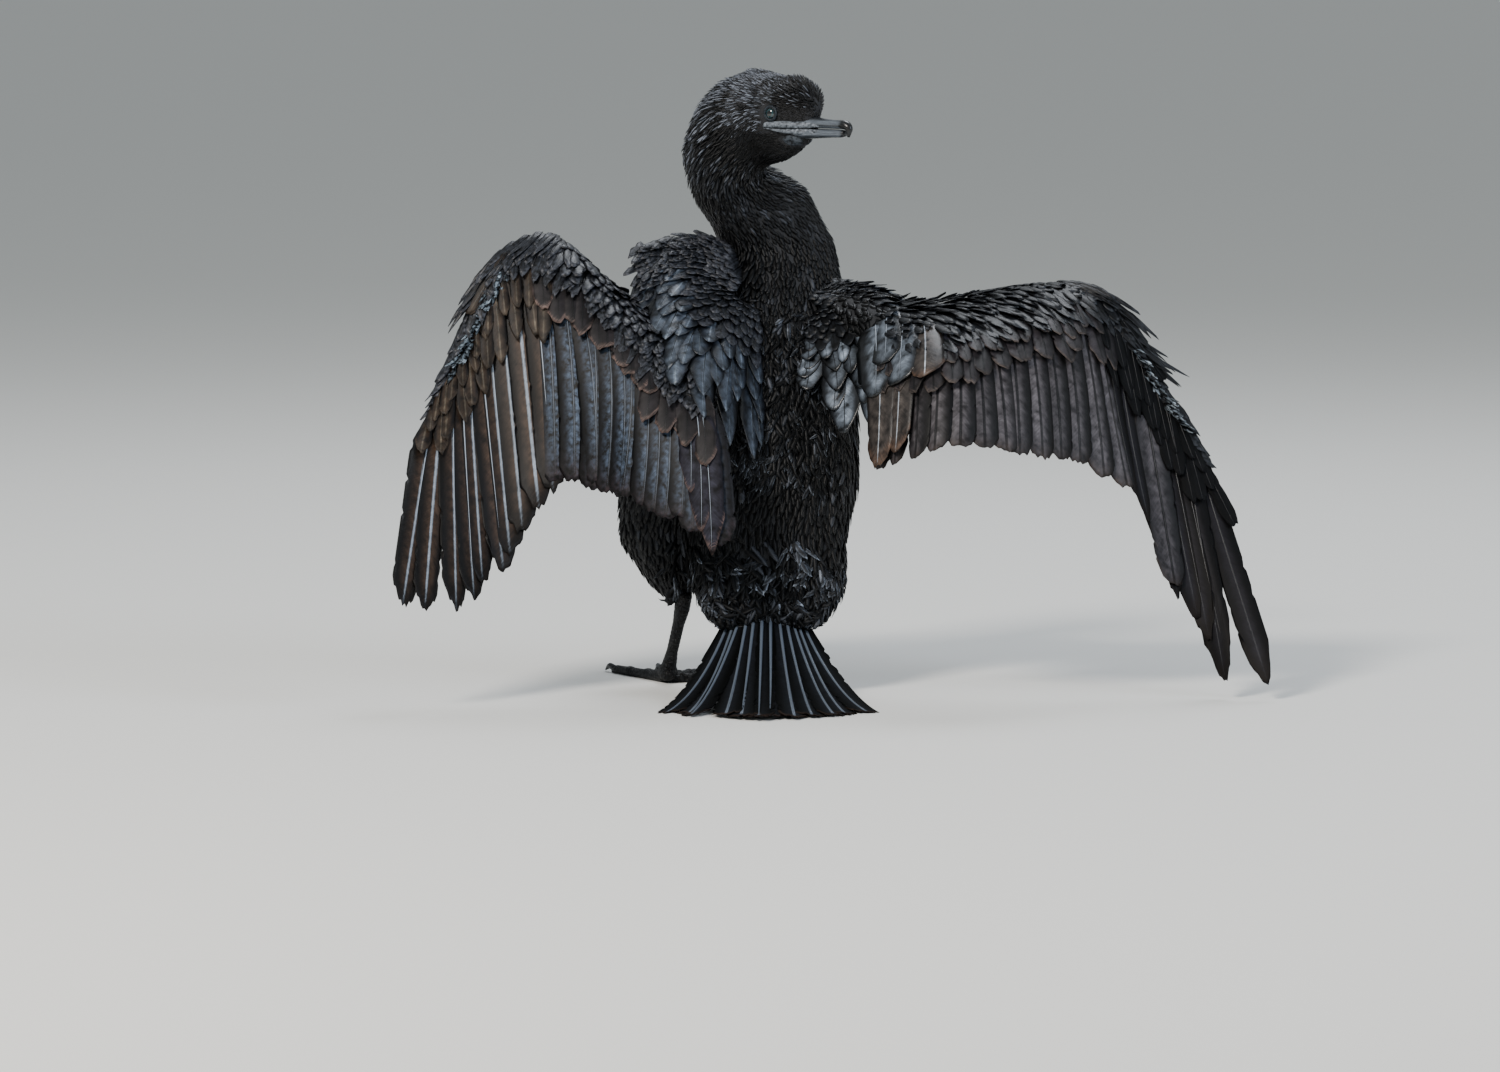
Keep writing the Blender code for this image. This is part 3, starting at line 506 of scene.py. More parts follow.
class Pattern:
    """A feather's plain shape as arrays: across from -1 to 1, along from 0 to 1, and height of its face."""

    def __init__(self, bm):
        bmesh.ops.triangulate(bm, faces=bm.faces)
        bm.verts.index_update()
        points = np.array([vert.co for vert in bm.verts])
        self.across, self.along, self.height = points.T
        self.faces = np.array([[vert.index for vert in face.verts] for face in bm.faces])
        bm.free()


def leaf_pattern():
    """A leaf of four sides, pointed at both ends, with a low ridge along its middle."""
    rings = [[(w, v, 0.0), (0.0, v, bool(w)), (-w, v, 0.0), (0.0, v, -1.0 * bool(w))]
             for v, w in zip(LEAF_ROWS, LEAF_SHAPE)]
    return Pattern(wrapped(rings))


def inside_box(points):
    """The points, with any that lie past the solids' box drawn back into it."""
    low, high = np.array(cad_box[0]), np.array(cad_box[1])
    return np.clip(points, low + 1e-5, high - 1e-5)


class Plume:
    """Feathers that are gathered into one piece, with what their finish reads."""

    def __init__(self):
        self.parts = []

    def add(self, points, faces, vane, barbs, tone, bake, finish):
        """points (n, 3); faces (m, 3); vane and barbs (n, 2); tone (n,); bake (n, 2); finish is a number."""
        self.parts.append((points, faces, vane, barbs, tone, bake, finish))

    def join(self, name, finishes, slot, stands_for=()):
        """Makes the feathers one piece, with its finishes by number."""
        start, corners, numbers = 0, [], []
        for points, faces, *_, finish in self.parts:
            corners.append(faces + start)
            numbers.append(np.full(len(faces), finish))
            start += len(points)
        points, vane, barbs, tone, bake = (np.concatenate([part[k] for part in self.parts])
                                           for k in (0, 2, 3, 4, 5))
        corners = np.concatenate(corners)
        mesh = bpy.data.meshes.new(name)
        mesh.vertices.add(len(points))
        mesh.vertices.foreach_set("co", inside_box(points).ravel())
        mesh.loops.add(corners.size)
        mesh.loops.foreach_set("vertex_index", corners.ravel())
        mesh.polygons.add(len(corners))
        mesh.polygons.foreach_set("loop_start", np.arange(0, corners.size, 3))
        mesh.polygons.foreach_set("material_index", np.concatenate(numbers))
        mesh.update(calc_edges=True)
        mesh.shade_smooth()
        for label, data in (("vane", vane), ("barbs", barbs), ("OFBake", bake)):
            mesh.uv_layers.new(name=label).data.foreach_set("uv", data[corners.ravel()].ravel())
        mesh.attributes.new("tone", "FLOAT", "POINT").data.foreach_set("value", tone)
        for finish in finishes:
            mesh.materials.append(finish)
        made = bpy.data.objects.new(name, mesh)
        bpy.context.scene.collection.objects.link(made)
        settle(made, stands_for)


def scattered(points, spacing, rng):
    """The points that are kept when each stands at least its own spacing from those kept before it."""
    order = rng.permutation(len(points))
    cell = float(spacing.max())
    kept, cells = [], {}
    keys = np.floor(points / cell).astype(int)
    near = [(i, j, k) for i in (-1, 0, 1) for j in (-1, 0, 1) for k in (-1, 0, 1)]
    for n in order:
        x, y, z = keys[n]
        p, reach = points[n], spacing[n] ** 2
        free = True
        for i, j, k in near:
            for m in cells.get((x + i, y + j, z + k), ()):
                d = points[m] - p
                if d[0] * d[0] + d[1] * d[1] + d[2] * d[2] < reach:
                    free = False
                    break
            if not free:
                break
        if free:
            kept.append(n)
            cells.setdefault((x, y, z), []).append(n)
    return np.array(kept)


def head_station(forward, up, *rest):
    """A station of the coat given from between the eyes."""
    return tuple(HEAD_AT + BILL_WAY * forward + UP * up), *rest


# The lie of the coat: stations of (place, radius, feather length, width, spacing, lift at the tip).
LIE = {
    "trunk": (
        head_station(25, -2, 14, 2.6, 0.8, 0.85, 0.4),
        head_station(8, -1, 22, 3.8, 0.85, 0.9, 0.5),
        head_station(-14, -1, 26, 5.0, 0.95, 0.98, 0.7),
        head_station(-30, -10, 26, 5.8, 1.2, 1.2, 0.8),
        ((-30, 79, 326), 26, 5.6, 2.1, 1.75, 0.8),
        ((-25, 86, 306), 27, 6.2, 2.4, 1.95, 0.8),
        ((-8, 98, 286), 31, 7.0, 2.8, 2.15, 0.9),
        ((4, 103, 264), 38, 8.0, 3.4, 2.4, 1.0),
        ((5, 95, 244), 40, 9.0, 3.9, 2.7, 1.3),
        ((3, 74, 206), 47, 12, 3.8, 2.8, 1.3),
        ((3, 58, 170), 52, 13, 4.0, 2.9, 1.3),
        ((1, 40, 130), 54, 13, 4.0, 2.9, 1.4),
        ((-4, 22, 94), 50, 14, 3.8, 2.8, 2.0),
        ((-4, 2, 66), 42, 16, 3.4, 2.8, 2.8),
        ((-5, -18, 54), 32, 17, 3.2, 2.8, 2.8),
        ((-5, -50, 34), 26, 17, 3.2, 2.8, 2.2),
    ),
    "left_thigh": (
        ((-40, 52, 140), 30, 12, 5.0, 3.4, 1.7),
        ((-68, 50, 116), 37, 11, 4.4, 3.1, 1.6),
        ((-71, 42, 90), 28, 10, 4.0, 2.9, 1.5),
        ((-64, 33, 66), 17, 8, 3.2, 2.3, 1.2),
        ((-57, 26, 50), 9, 5, 2.0, 1.5, 0.7),
    ),
    "right_thigh": (
        ((20, 56, 140), 26, 12, 5.0, 3.4, 1.7),
        ((26, 64, 112), 27, 11, 4.4, 3.1, 1.6),
        ((25, 54, 88), 22, 10, 4.0, 2.9, 1.5),
        ((20, 44, 66), 15, 8, 3.2, 2.3, 1.2),
        ((16, 37, 50), 9, 5, 2.0, 1.5, 0.7),
    ),
}
ARM_SIZES = (1.0, 12.0, 5.2, 3.6, 1.2)
CANDIDATES = 190000


def lie_of_arms(points):
    """The lie of the small feathers on the wings' flesh: along the ribs of the nearest sheet."""
    spots, ways = [], []
    for wing in WINGS.values():
        for sheet in (wing["sheet"], wing["cape"]):
            u = np.repeat(np.linspace(0, sheet.last, 41), 20)
            s = np.tile(np.linspace(0.0, 1.0, 20), 41) * (sheet.lengths(u)[0] + 0.01)
            here, along, _, _ = sheet.frame(u, s)
            spots.append(here)
            ways.append(along)
    spots, ways = np.concatenate(spots), np.concatenate(ways)
    near = KDTree(len(spots))
    for k, spot in enumerate(spots):
        near.insert(spot, k)
    near.balance()
    return ways[[near.find(p)[1] for p in points]]


def lie_at(points):
    """For each point the way its feather lies, as a unit vector, and the five sizes of its feather."""
    best = np.full(len(points), np.inf)
    ways, sizes = np.zeros((len(points), 3)), np.zeros((len(points), 5))
    for stations in LIE.values():
        fine = np.linspace(0, len(stations) - 1, 12 * len(stations))
        line = along_curve(np.array([at(*s[0]) for s in stations]), fine)
        tangent = unit(np.gradient(line, axis=0))
        values = along_curve(np.array([s[1:] for s in stations], float), fine)
        gaps = np.linalg.norm(points[:, None] - line[None], axis=2) / (values[None, :, 0] * MM)
        nearest = gaps.argmin(axis=1)
        share = gaps[np.arange(len(points)), nearest]
        closer = share < best
        best[closer] = share[closer]
        ways[closer] = tangent[nearest[closer]]
        sizes[closer] = values[nearest[closer]]
    return ways, sizes


rng = np.random.default_rng(7)
leaf = leaf_pattern()
skin.data.calc_loop_triangles()
triangles = values_of(skin.data.loop_triangles, "vertices", 3, int)
triangle_loops = values_of(skin.data.loop_triangles, "loops", 3, int)
skin_bake = values_of(skin.data.uv_layers["OFBake"].data, "uv", 2)
skin_tree = BVHTree.FromPolygons([Vector(p) for p in skin_points], triangles.tolist())

corner = skin_points[triangles]
area = np.linalg.norm(np.cross(corner[:, 1] - corner[:, 0], corner[:, 2] - corner[:, 0]), axis=1) / 2
trunk_triangle = on_trunk[triangles].mean(axis=1) > 0.5
_, middle_sizes = lie_at(corner.mean(axis=1))
middle_sizes[~trunk_triangle] = ARM_SIZES
wanted = area / (middle_sizes[:, 3] * MM) ** 2
picked = rng.choice(len(triangles), CANDIDATES, p=wanted / wanted.sum())
r1, r2 = np.sqrt(rng.random(CANDIDATES)), rng.random(CANDIDATES)
weights = np.stack([1 - r1, r1 * (1 - r2), r1 * r2], axis=1)
roots = (corner[picked] * weights[:, :, None]).sum(axis=1)
root_bake = (skin_bake[triangle_loops[picked]] * weights[:, :, None]).sum(axis=1)
kept = scattered(roots, middle_sizes[picked, 3] * MM, rng)
roots, root_bake, rooted_on_trunk = roots[kept], root_bake[kept], trunk_triangle[picked[kept]]
ways, sizes = lie_at(roots)
sizes[~rooted_on_trunk] = ARM_SIZES
ways[~rooted_on_trunk] = lie_of_arms(roots[~rooted_on_trunk])


def laid_over(points, ways, lengths):
    """Each feather's root, middle and tip on the skin, and the ways out there."""
    normal = np.array([skin_tree.find_nearest(p)[1] for p in points])
    places, outs = [points], [normal]
    ways = unit(ways - normal * (ways * normal).sum(1, keepdims=True))
    for _ in range(2):
        goal = places[-1] + ways * lengths[:, None] / 2
        found = [skin_tree.find_nearest(p) for p in goal]
        places.append(np.array([f[0] for f in found]))
        outs.append(np.array([f[1] for f in found]))
        ways = unit(places[-1] - places[-2])
    return np.array(places), np.array(outs)


def grow_leaves(plume, ways, lengths, widths, sink, lifts, tones, chosen, camber):
    """Adds one leaf at each chosen root, sunk there by sink metres and lifted at its tip."""
    places, outs = laid_over(roots[chosen], ways, lengths)
    t = leaf.along[None, :, None]
    a, b, c = (p[:, None] for p in places)
    line = a + (b - a) * (2 * t) + (c - 2 * b + a) * (2 * t * (t - 0.5))
    tangent = unit((b - a) * 2 + (c - 2 * b + a) * (4 * t - 1.0))
    out = unit(outs[0][:, None] * (1 - t) + outs[2][:, None] * t)
    across = unit(np.cross(tangent, out))
    side = leaf.across[None] * widths[:, None] / 2
    height = -sink + (sink + lifts)[:, None] * leaf.along[None] ** 0.8
    height = height + leaf.height[None] * LEAF_RIDGE - camber * leaf.across[None] ** 2 * widths[:, None]
    points = line + across * side[..., None] + out * height[..., None]
    count, corners = len(lengths), len(leaf.along)
    faces = (leaf.faces[None] + (np.arange(count) * corners)[:, None, None]).reshape(-1, 3)
    vane = np.stack(np.broadcast_arrays(leaf.across / 2 + 0.5, leaf.along), axis=1)
    vane = np.broadcast_to(vane, (count, corners, 2)).reshape(-1, 2)
    run = leaf.along[None] * lengths[:, None] / MM
    barbs = np.stack([side / MM, run - np.abs(side) / MM * BARB_SLANT], axis=2).reshape(-1, 2)
    tone = np.repeat(tones, corners)
    patch = (vane.reshape(count, corners, 2) - 0.5) * BAKE_PATCH
    bake = (root_bake[chosen][:, None] + patch).reshape(-1, 2)
    plume.add(points.reshape(-1, 3), faces, vane, barbs, tone, bake, 0)


def plumage(name, shaft, centre, vane, edge, tip, roughness, gloss, mottle=0.25, tip_start=0.85,
            edge_start=0.65, streak=0.85, worn=0.25, blotch_size=5.0, shadow=0.0, bars=0.0, tip_reach=0.15,
            line=(0.05, 0.12)):
    """The finish of one kind of feather: the sRGB colours of its shaft line, middle, vane, edges and tip.

    blotch_size is how far apart worn blotches lie, in mm, mottle and streak how strong they and the barbs
    are, and worn how far barbs fray the tip's colour. shadow darkens the half that the next feather shades,
    bars crosses the vane with that many dark bars, and line is where the shaft's colour ends. The barbs
    are drawn BARB mm apart, coarser than the real 0.3 mm, so that they show."""
    finish = new_finish(name, gloss, roughness=roughness)
    tree = finish.node_tree
    vane_x, vane_y, _ = node(tree, "SeparateXYZ", node(tree, "UVMap", uv_map="vane")).node.outputs
    blotch = node(tree, "TexNoise", node(tree, "TexCoord", out="Object"), in_Scale=1000.0 / blotch_size,
                  in_Detail=4.0)
    barbs = node(tree, "Mapping", node(tree, "UVMap", uv_map="barbs"), in_Scale=(0.12, 1.0 / BARB, 1.0))
    barbs = node(tree, "TexNoise", barbs, in_Scale=1.0, in_Detail=2.0, in_Roughness=0.6)
    off_middle = node(tree, "Math", vane_x, 2.0, -1.0, operation="MULTIPLY_ADD")
    off_middle = node(tree, "Math", off_middle, operation="ABSOLUTE")
    ragged = node(tree, "Math", blotch, 0.5, off_middle, operation="MULTIPLY_ADD")
    frayed = node(tree, "Math", barbs, worn, vane_y, operation="MULTIPLY_ADD")

    # Noise has a mean of a half, which the limits of the worn edges and tip allow for.
    edge_start, tip_start = edge_start + 0.25, tip_start + worn / 2
    layers = [(off_middle, 0.1, 0.7, 0.0, 1.0, vane), (off_middle, *line, 1.0, 0.0, shaft),
              (ragged, edge_start, edge_start + 0.3, 0.0, 0.9, edge),
              (frayed, tip_start, tip_start + tip_reach, 0.0, 1.0, tip)]
    if bars:
        wave = node(tree, "Math", frayed, 2 * pi * bars, -pi * bars * worn, operation="MULTIPLY_ADD")
        layers.append((node(tree, "Math", wave, operation="SINE"), -0.2, 0.2, 0.0, 1.0, "0b0c0e"))
    colour = linear(centre)
    for *limits, over in layers:
        share = node(tree, "MapRange", *limits, interpolation_type="SMOOTHSTEP")
        colour = node(tree, "Mix", share, in_6=colour, in_7=linear(over), data_type="RGBA", out=2)

    light = node(tree, "Attribute", attribute_name="tone", out="Fac")
    shares = [node(tree, "MapRange", blotch, 0.3, 0.7, 1.0 - mottle, 1.0 + mottle),
              node(tree, "Math", barbs, 2 * streak, 1.0 - streak, operation="MULTIPLY_ADD")]
    if shadow:
        shares.append(node(tree, "MapRange", vane_x, 0.45, 0.95, 1.0, 1.0 - shadow,
                           interpolation_type="SMOOTHSTEP"))
    for share in shares:
        light = node(tree, "Math", light, share, operation="MULTIPLY")
    grey = node(tree, "CombineColor", light, light, light)
    colour = node(tree, "Mix", 1.0, in_6=colour, in_7=grey, data_type="RGBA", blend_type="MULTIPLY", out=2)
    dress(finish, colour, barbs, 0.6, 0.3 * MM)
    return finish


def noise_over(points, scale, shift=(0, 0, 0)):
    """Smooth noise at each point, in patches that are about 1 / scale metres wide."""
    return np.array([noise.noise(Vector(p) * scale + Vector(shift)) for p in points])


# Body feathers: near black with a faint blue gloss, and barbs so fine that the blade reads as silk.
black_silk = plumage("silky_black_contour_feather", "0c0d10", "090a0c", "08090b", "050607", "0e1013",
                     0.5, 0.3)
head_silk = plumage("short_silky_head_feather", "0b0c0e", "090a0c", "07080a", "050607", "131519", 0.45, 0.35)

# Places of the head in mm from between the eyes: the eyes, the mouth and its corner, what the coat leaves
# bare round them and over the pouch, and how far the head's coat reaches. Below it are the heights in the
# bird's own measures at which the neck, the mantle and the rump begin and end.
EYE_FORWARD, EYE_OUT = 1.0, 14.0
MOUTH_LEVEL = -9.0
GAPE = -5.0
BARE_EYE, BARE_LIP = 5.6, (-3.4, 4.4)
GULAR = (12.0, -16.5, 8.0, 4.0)
HEAD_REACH = 52.0
NECK_FOOT = 232.0
MANTLE = (130.0, 246.0)
RUMP_TOP = 96.0
RUFF_AT, RUFF_REACH = 260.0, 26.0


def ramp(value, start, reach):
    """From 0 where the value is start to 1 where it is reach more."""
    return np.clip((value - start) / reach, 0, 1)


# Where the coat stands out: on the fore-crown and the nape, in the ruffled mantle between the
# shoulders, and in the loose skirt over the root of the tail.
seen_from_eyes = (roots - in_head(0, 0, 0)) / MM
forward, above = seen_from_eyes @ BILL_WAY, seen_from_eyes @ UP
in_head_region = np.linalg.norm(roots - in_head(-8, 0, 0), axis=1) < HEAD_REACH * MM
in_neck = ~in_head_region & (roots[:, 2] > NECK_FOOT * MM) & rooted_on_trunk
bird_x, bird_y, bird_z = roots.T / MM + np.array((CENTRE_X, CENTRE_Y, 0.0))[:, None]
normals = np.array([skin_tree.find_nearest(p)[1] for p in roots])
behind = normals @ unit(BACK) > 0.0
fore_crown = in_head_region * ramp(forward, 2, 10) * ramp(above, 2, 10)
nape = (in_head_region | in_neck) * ramp(-forward, 20, 12) * ramp(above, -60, 25)
mantle = rooted_on_trunk & behind & (bird_z > MANTLE[0]) & (bird_z < MANTLE[1]) & ~in_neck
rump = rooted_on_trunk & (bird_z < RUMP_TOP) & (bird_y < 24) & (np.abs(bird_x + 4) < 60)
left_ruff = ramp(-bird_x, 6, 12) * ramp(-np.abs(bird_z - RUFF_AT), -RUFF_REACH, RUFF_REACH) * in_neck
stand = fore_crown * 3.2 + nape * 3.4 + left_ruff * 7.0

root_count = len(roots)
jitter = rng.normal(0.0, 1.0, root_count) * np.where(rump, 0.5, np.where(mantle, 0.34, 0.16))
ways = unit(ways - normals * (ways * normals).sum(1, keepdims=True))
ways = unit(ways + np.cross(normals, ways) * jitter[:, None])
lengths = sizes[:, 1] * MM * rng.uniform(0.85, 1.2, root_count)
lengths *= 1 + 0.6 * fore_crown + 0.9 * nape + 1.3 * left_ruff
lengths *= np.where(mantle, 1.3, np.where(rump, 1.35, 1.0))
widths = sizes[:, 2] * MM * rng.uniform(0.85, 1.15, root_count) * np.where(mantle, 1.1, 1.0)
lifts = sizes[:, 4] * MM * rng.uniform(0.45, 1.25, root_count) * np.where(mantle | rump, 1.5, 1.0)
lifts += stand * MM * rng.uniform(0.6, 1.2, root_count)

# Painted highlights: single feathers get brighter tones in patches where wet, glossy feathers catch the
# light: many on the crown, cheek and nape, few on the trunk, none on the face, and soft grey ones on the
# rump. A tone multiplies the finish's own dark colour, and the brightest painted highlights are kept to the
# top of the head.
BRIGHTEST_HIGHLIGHT, BRIGHTEST_HIGHLIGHT_LOW_DOWN = 72.0, 16.0
patchy = noise_over(roots, 45.0)
share = np.where(mantle, 0.1 + patchy * 0.5, np.where(rump, 0.12 + patchy * 1.2, patchy * 0.5 - 0.06))
flecks = rng.random(root_count) < np.clip(share, 0.01, 0.55)
tones = rng.uniform(0.55, 1.2, root_count)
tones *= np.where(flecks, rng.uniform(2.0, 22.0, root_count), 1.0)
# Painted highlight: more bright flecks on the top of the head and the nape, and fewer lower down.
painted_highlight_share = ramp(above, -14, 16) * ramp(-forward, -8, 14) + 0.35 * ramp(above, 0, 20)
painted_highlight_share = np.maximum(painted_highlight_share, nape * 0.55) * (in_head_region | in_neck) * ramp(above, -55, 30)
painted_highlight_fleck = rng.random(root_count) < np.clip(0.62 + noise_over(roots, 160.0) * 0.7, 0.2, 0.9) * painted_highlight_share
tones = np.where(in_head_region, rng.uniform(0.5, 1.1, root_count), tones)
tones = np.where(painted_highlight_fleck, 5.0 + 70.0 * rng.random(root_count) ** 1.6, tones)
streaked = in_neck & (noise_over(roots, 55.0, (3, 1, 2)) > 0.22) & ~painted_highlight_fleck
tones = np.where(streaked, tones * rng.uniform(2.0, 7.0, root_count), tones)
highlight_cap = BRIGHTEST_HIGHLIGHT_LOW_DOWN + (BRIGHTEST_HIGHLIGHT - BRIGHTEST_HIGHLIGHT_LOW_DOWN) * ramp(above, -30, 20)
tones = np.where(in_head_region | in_neck, np.minimum(tones, highlight_cap), tones)

clear_of_face = (forward < 24) | (above > -1.0) | (above < -17)
for side in (1, -1):
    eye_place = in_head(EYE_FORWARD, side * (EYE_OUT + 3), 0)
    clear_of_face &= np.linalg.norm(roots - eye_place, axis=1) > BARE_EYE * MM
over_mouth = above - MOUTH_LEVEL
clear_of_face &= (forward <= GAPE) | (over_mouth <= BARE_LIP[0]) | (over_mouth >= BARE_LIP[1])
clear_of_face &= ((forward - GULAR[0]) / GULAR[2]) ** 2 + ((above - GULAR[1]) / GULAR[3]) ** 2 >= 0.7
BODY_PIECES = (
    ("head_coat", in_head_region & clear_of_face, head_silk, "head_feathers"),
    ("neck_coat", in_neck, black_silk, "body_feathers"),
    ("trunk_coat", ~in_head_region & ~in_neck & rooted_on_trunk, black_silk, "body_feathers"),
    ("wing_lining", ~rooted_on_trunk, black_silk, "wing_feathers"),
)
for name, chosen, finish, slot_name in BODY_PIECES:
    plume = Plume()
    grow_leaves(plume, ways[chosen], lengths[chosen], widths[chosen], 0.5 * MM, lifts[chosen], tones[chosen],
                chosen, 0.12)
    plume.join(name, [finish], slot_name)


# Loose tufts over that coat: light-edged ones that flow down the mantle, soft grey ones in clumps on the
# rump, and long ones that hang over the root of the tail.

# Loose feathers: matt, with soft grey edges that read as dust on black.
loose_grey = plumage("loose_grey_edged_tuft", "0a0b0c", "0c0d0f", "15171a", "2c2f34", "3c4046", 0.6, 0.15,
                     edge_start=0.3, mottle=0.8, streak=1.0)
tail_root = rooted_on_trunk & behind & (bird_z > 40) & (bird_z < 66) & (bird_y < -4)
# Each zone's count, length, width and lift in mm, spread of the way they lie, and range of tones.
TUFTS = (
    (mantle & (np.abs(bird_x + 2) < 40), 640, 14, 3.2, 2.4, 0.45, (0.4, 4.5)),
    (rump & behind & (bird_z < 88 + 9 * np.sin(bird_x / 9)), 430, 21, 4.2, 4.2, 0.36, (0.4, 8.0)),
    (tail_root, 230, 30, 3.0, 1.6, 0.22, (0.2, 3.0)),
    (rump & (bird_x > 20) & (bird_z < 80), 150, 30, 1.7, 3.0, 0.22, (0.3, 1.0)),
)
plume = Plume()
for zone, count, long, wide, lift, turn, (dim, bright) in TUFTS:
    chosen = rng.choice(np.flatnonzero(zone), count)
    clumps = np.clip(noise_over(roots[chosen], 70.0) * 3.0 + 0.2, 0, 1)
    turns = rng.normal(0, turn, count)[:, None]
    tuft_ways = unit(ways[chosen] + np.cross(normals[chosen], ways[chosen]) * turns)
    long = long * MM * rng.uniform(0.7, 1.2, count)
    light = dim + (bright - dim) * clumps * rng.uniform(0.5, 1.4, count)
    wide = wide * MM * rng.uniform(0.6, 1.2, count)
    lift = lift * MM * rng.uniform(0.6, 1.2, count)
    grow_leaves(plume, tuft_ways, long, wide, 0.3 * MM, lift, light, chosen, 0.16)
plume.join("loose_tufts", [loose_grey], "body_feathers")


# The bare face: the ring of beaded skin round each eye, the pale skin of the gape that runs from under the
# eye to the bill as two lips, and the patch of gular skin under them. They sit on the skin of the head.

def face_point(forward, side, up, off):
    """The point of the head's skin at one side, off millimetres out of it."""
    start = Vector(in_head(forward, side * 60, up))
    hit, normal, _, _ = skin_tree.ray_cast(start, Vector(HEAD_SIDE * -side))
    if hit is None:
        hit, normal, _, _ = skin_tree.find_nearest(in_head(forward, side * 6, up))
    return np.array(hit) + np.array(normal) * off * MM


def textured(name, roughness, colours, size, bump, scales=False):
    """A skin or horn with a pattern of size mm between two sRGB colours, raised by bump mm."""
    finish = new_finish(name, 0.2, roughness=roughness)
    tree = finish.node_tree
    place = node(tree, "TexCoord", out="Object")
    if scales:
        # Scales: darker in the creases between them, which is painted shade.
        height = node(tree, "TexVoronoi", place, in_Scale=1.0 / (size * MM), feature="DISTANCE_TO_EDGE")
        height = node(tree, "MapRange", height, 0.02, 0.2)
    else:
        height = node(tree, "TexNoise", place, in_Scale=1.0 / (size * MM), in_Detail=3.0)
        height = node(tree, "MapRange", height, 0.3, 0.7)
    low, high = (linear(colour) for colour in colours)
    colour = node(tree, "Mix", height, in_6=low, in_7=high, data_type="RGBA", out=2)
    dress(finish, colour, height, 1.0, bump * MM)
    return finish


def finished(name, shapes, finish, stands_for=()):
    """One smooth piece from several bmeshes, with its material."""
    made = gathered(name, shapes)
    for vert in made.data.vertices:
        vert.co = inside_box(vert.co)
    made.data.shade_smooth()
    made.data.materials.append(finish)
    settle(made, stands_for)
    return made


# Bare facial skin: waxy, finely wrinkled and mottled, paler on the gape than on the pouch.
gape_skin = textured("waxy_gape_skin", 0.4, ("15181c", "8a929c"), 2.0, 0.35)
gular_skin = textured("mottled_gular_skin", 0.5, ("0b0c0e", "4d545c"), 2.2, 0.5)
lid_skin = textured("dark_beaded_lid_skin", 0.4, ("0d0f12", "3a424a"), 0.9, 0.2)

# Each lip's half height in mm along it, from the gape to the bill, and the stations past the skin.
UPPER_LIP = (0.0, 0.06, 0.15, 0.5, 1.0), (0.9, 1.7, 1.9, 2.2, 2.0)
LOWER_LIP = (0.0, 0.1, 0.3, 0.6, 1.0), (0.2, 0.3, 1.1, 1.7, 2.0)
LIP_END = 23.0
LIP_ON_BILL = ((28.0, 4.6, 2.2, 1.7, 1.1), (33.0, 3.4, 1.6, 0.7, 0.6))
lips = []
for side in (1, -1):
    for way, lip in ((1, UPPER_LIP), (-1, LOWER_LIP)):
        stations = []
        for share in np.linspace(0.0, 1.0, 16):
            tall = float(np.interp(share, *lip))
            place = face_point(GAPE + (LIP_END - GAPE) * share, side, MOUTH_LEVEL + way * (0.15 + tall), 0.35)
            stations.append((place, tall, 0.6 + 0.9 * min(1.0, share * 4)))
        stations += [(in_head(f, side * s, MOUTH_LEVEL + way * u), tall, deep)
                     for f, s, u, tall, deep in LIP_ON_BILL]
        lips.append(loft(stations, UP, 14))
finished("gape_lips", lips, gape_skin)

pouches = []
for side in (1, -1):
    bm = bmesh.new()
    bmesh.ops.create_circle(bm, cap_ends=True, cap_tris=True, segments=32, radius=1.0)
    bmesh.ops.subdivide_edges(bm, edges=bm.edges, cuts=5, use_grid_fill=True)
    for vert in bm.verts:
        off = 0.7 - 1.6 * min(1.0, vert.co.length) ** 3 + 0.5 * noise.noise(vert.co * 2.3)
        vert.co = face_point(GULAR[0] + vert.co.x * GULAR[2], side, GULAR[1] + vert.co.y * GULAR[3], off)
    bmesh.ops.solidify(bm, geom=bm.faces, thickness=0.4 * MM)
    bmesh.ops.recalc_face_normals(bm, faces=bm.faces)
    pouches.append(bm)
finished("gular_skin", pouches, gular_skin)


def eye_frame(side, forward, out):
    """Where an eye's piece stands, with its own z the way that the eye looks."""
    gaze = Vector(unit(HEAD_SIDE * side + BILL_WAY * 0.3)).to_track_quat("Z", "Y")
    return Matrix.Translation(in_head(forward, side * out, 0)) @ gaze.to_matrix().to_4x4()


RING, RING_THICK = 4.15 * MM, 0.9 * MM
BEADS, BEAD, BEAD_RING, BEAD_RISE = 22, 0.36 * MM, 4.1 * MM, 0.8 * MM
rings = []
for side in (1, -1):
    place = eye_frame(side, EYE_FORWARD + 0.5, EYE_OUT + 2.2)
    bm = bmesh.new()
    bmesh.ops.create_circle(bm, segments=12, radius=RING_THICK,
                            matrix=Matrix.Translation((RING, 0, 0)) @ Matrix.Rotation(pi / 2, 4, "X"))
    bmesh.ops.spin(bm, geom=bm.edges, cent=(0, 0, 0), axis=(0, 0, 1), angle=2 * pi, steps=48, use_merge=True)
    bmesh.ops.remove_doubles(bm, verts=bm.verts, dist=1e-6)
    bmesh.ops.recalc_face_normals(bm, faces=bm.faces)
    bmesh.ops.transform(bm, matrix=place, verts=bm.verts)
    rings.append(bm)
    bm = bmesh.new()
    for k in range(BEADS):
        bead = Matrix.Rotation(2 * pi * k / BEADS, 4, "Z") @ Matrix.Translation((BEAD_RING, 0, BEAD_RISE))
        bmesh.ops.create_uvsphere(bm, u_segments=8, v_segments=6, radius=BEAD, matrix=place @ bead)
    rings.append(bm)
finished("eye_rings", rings, lid_skin)


# The eyes: glass-smooth balls under a wet cornea, with a dark blue-green iris round a black pupil. The
# rings of colour follow each ball's own map, which measures the angle from the way that it looks.

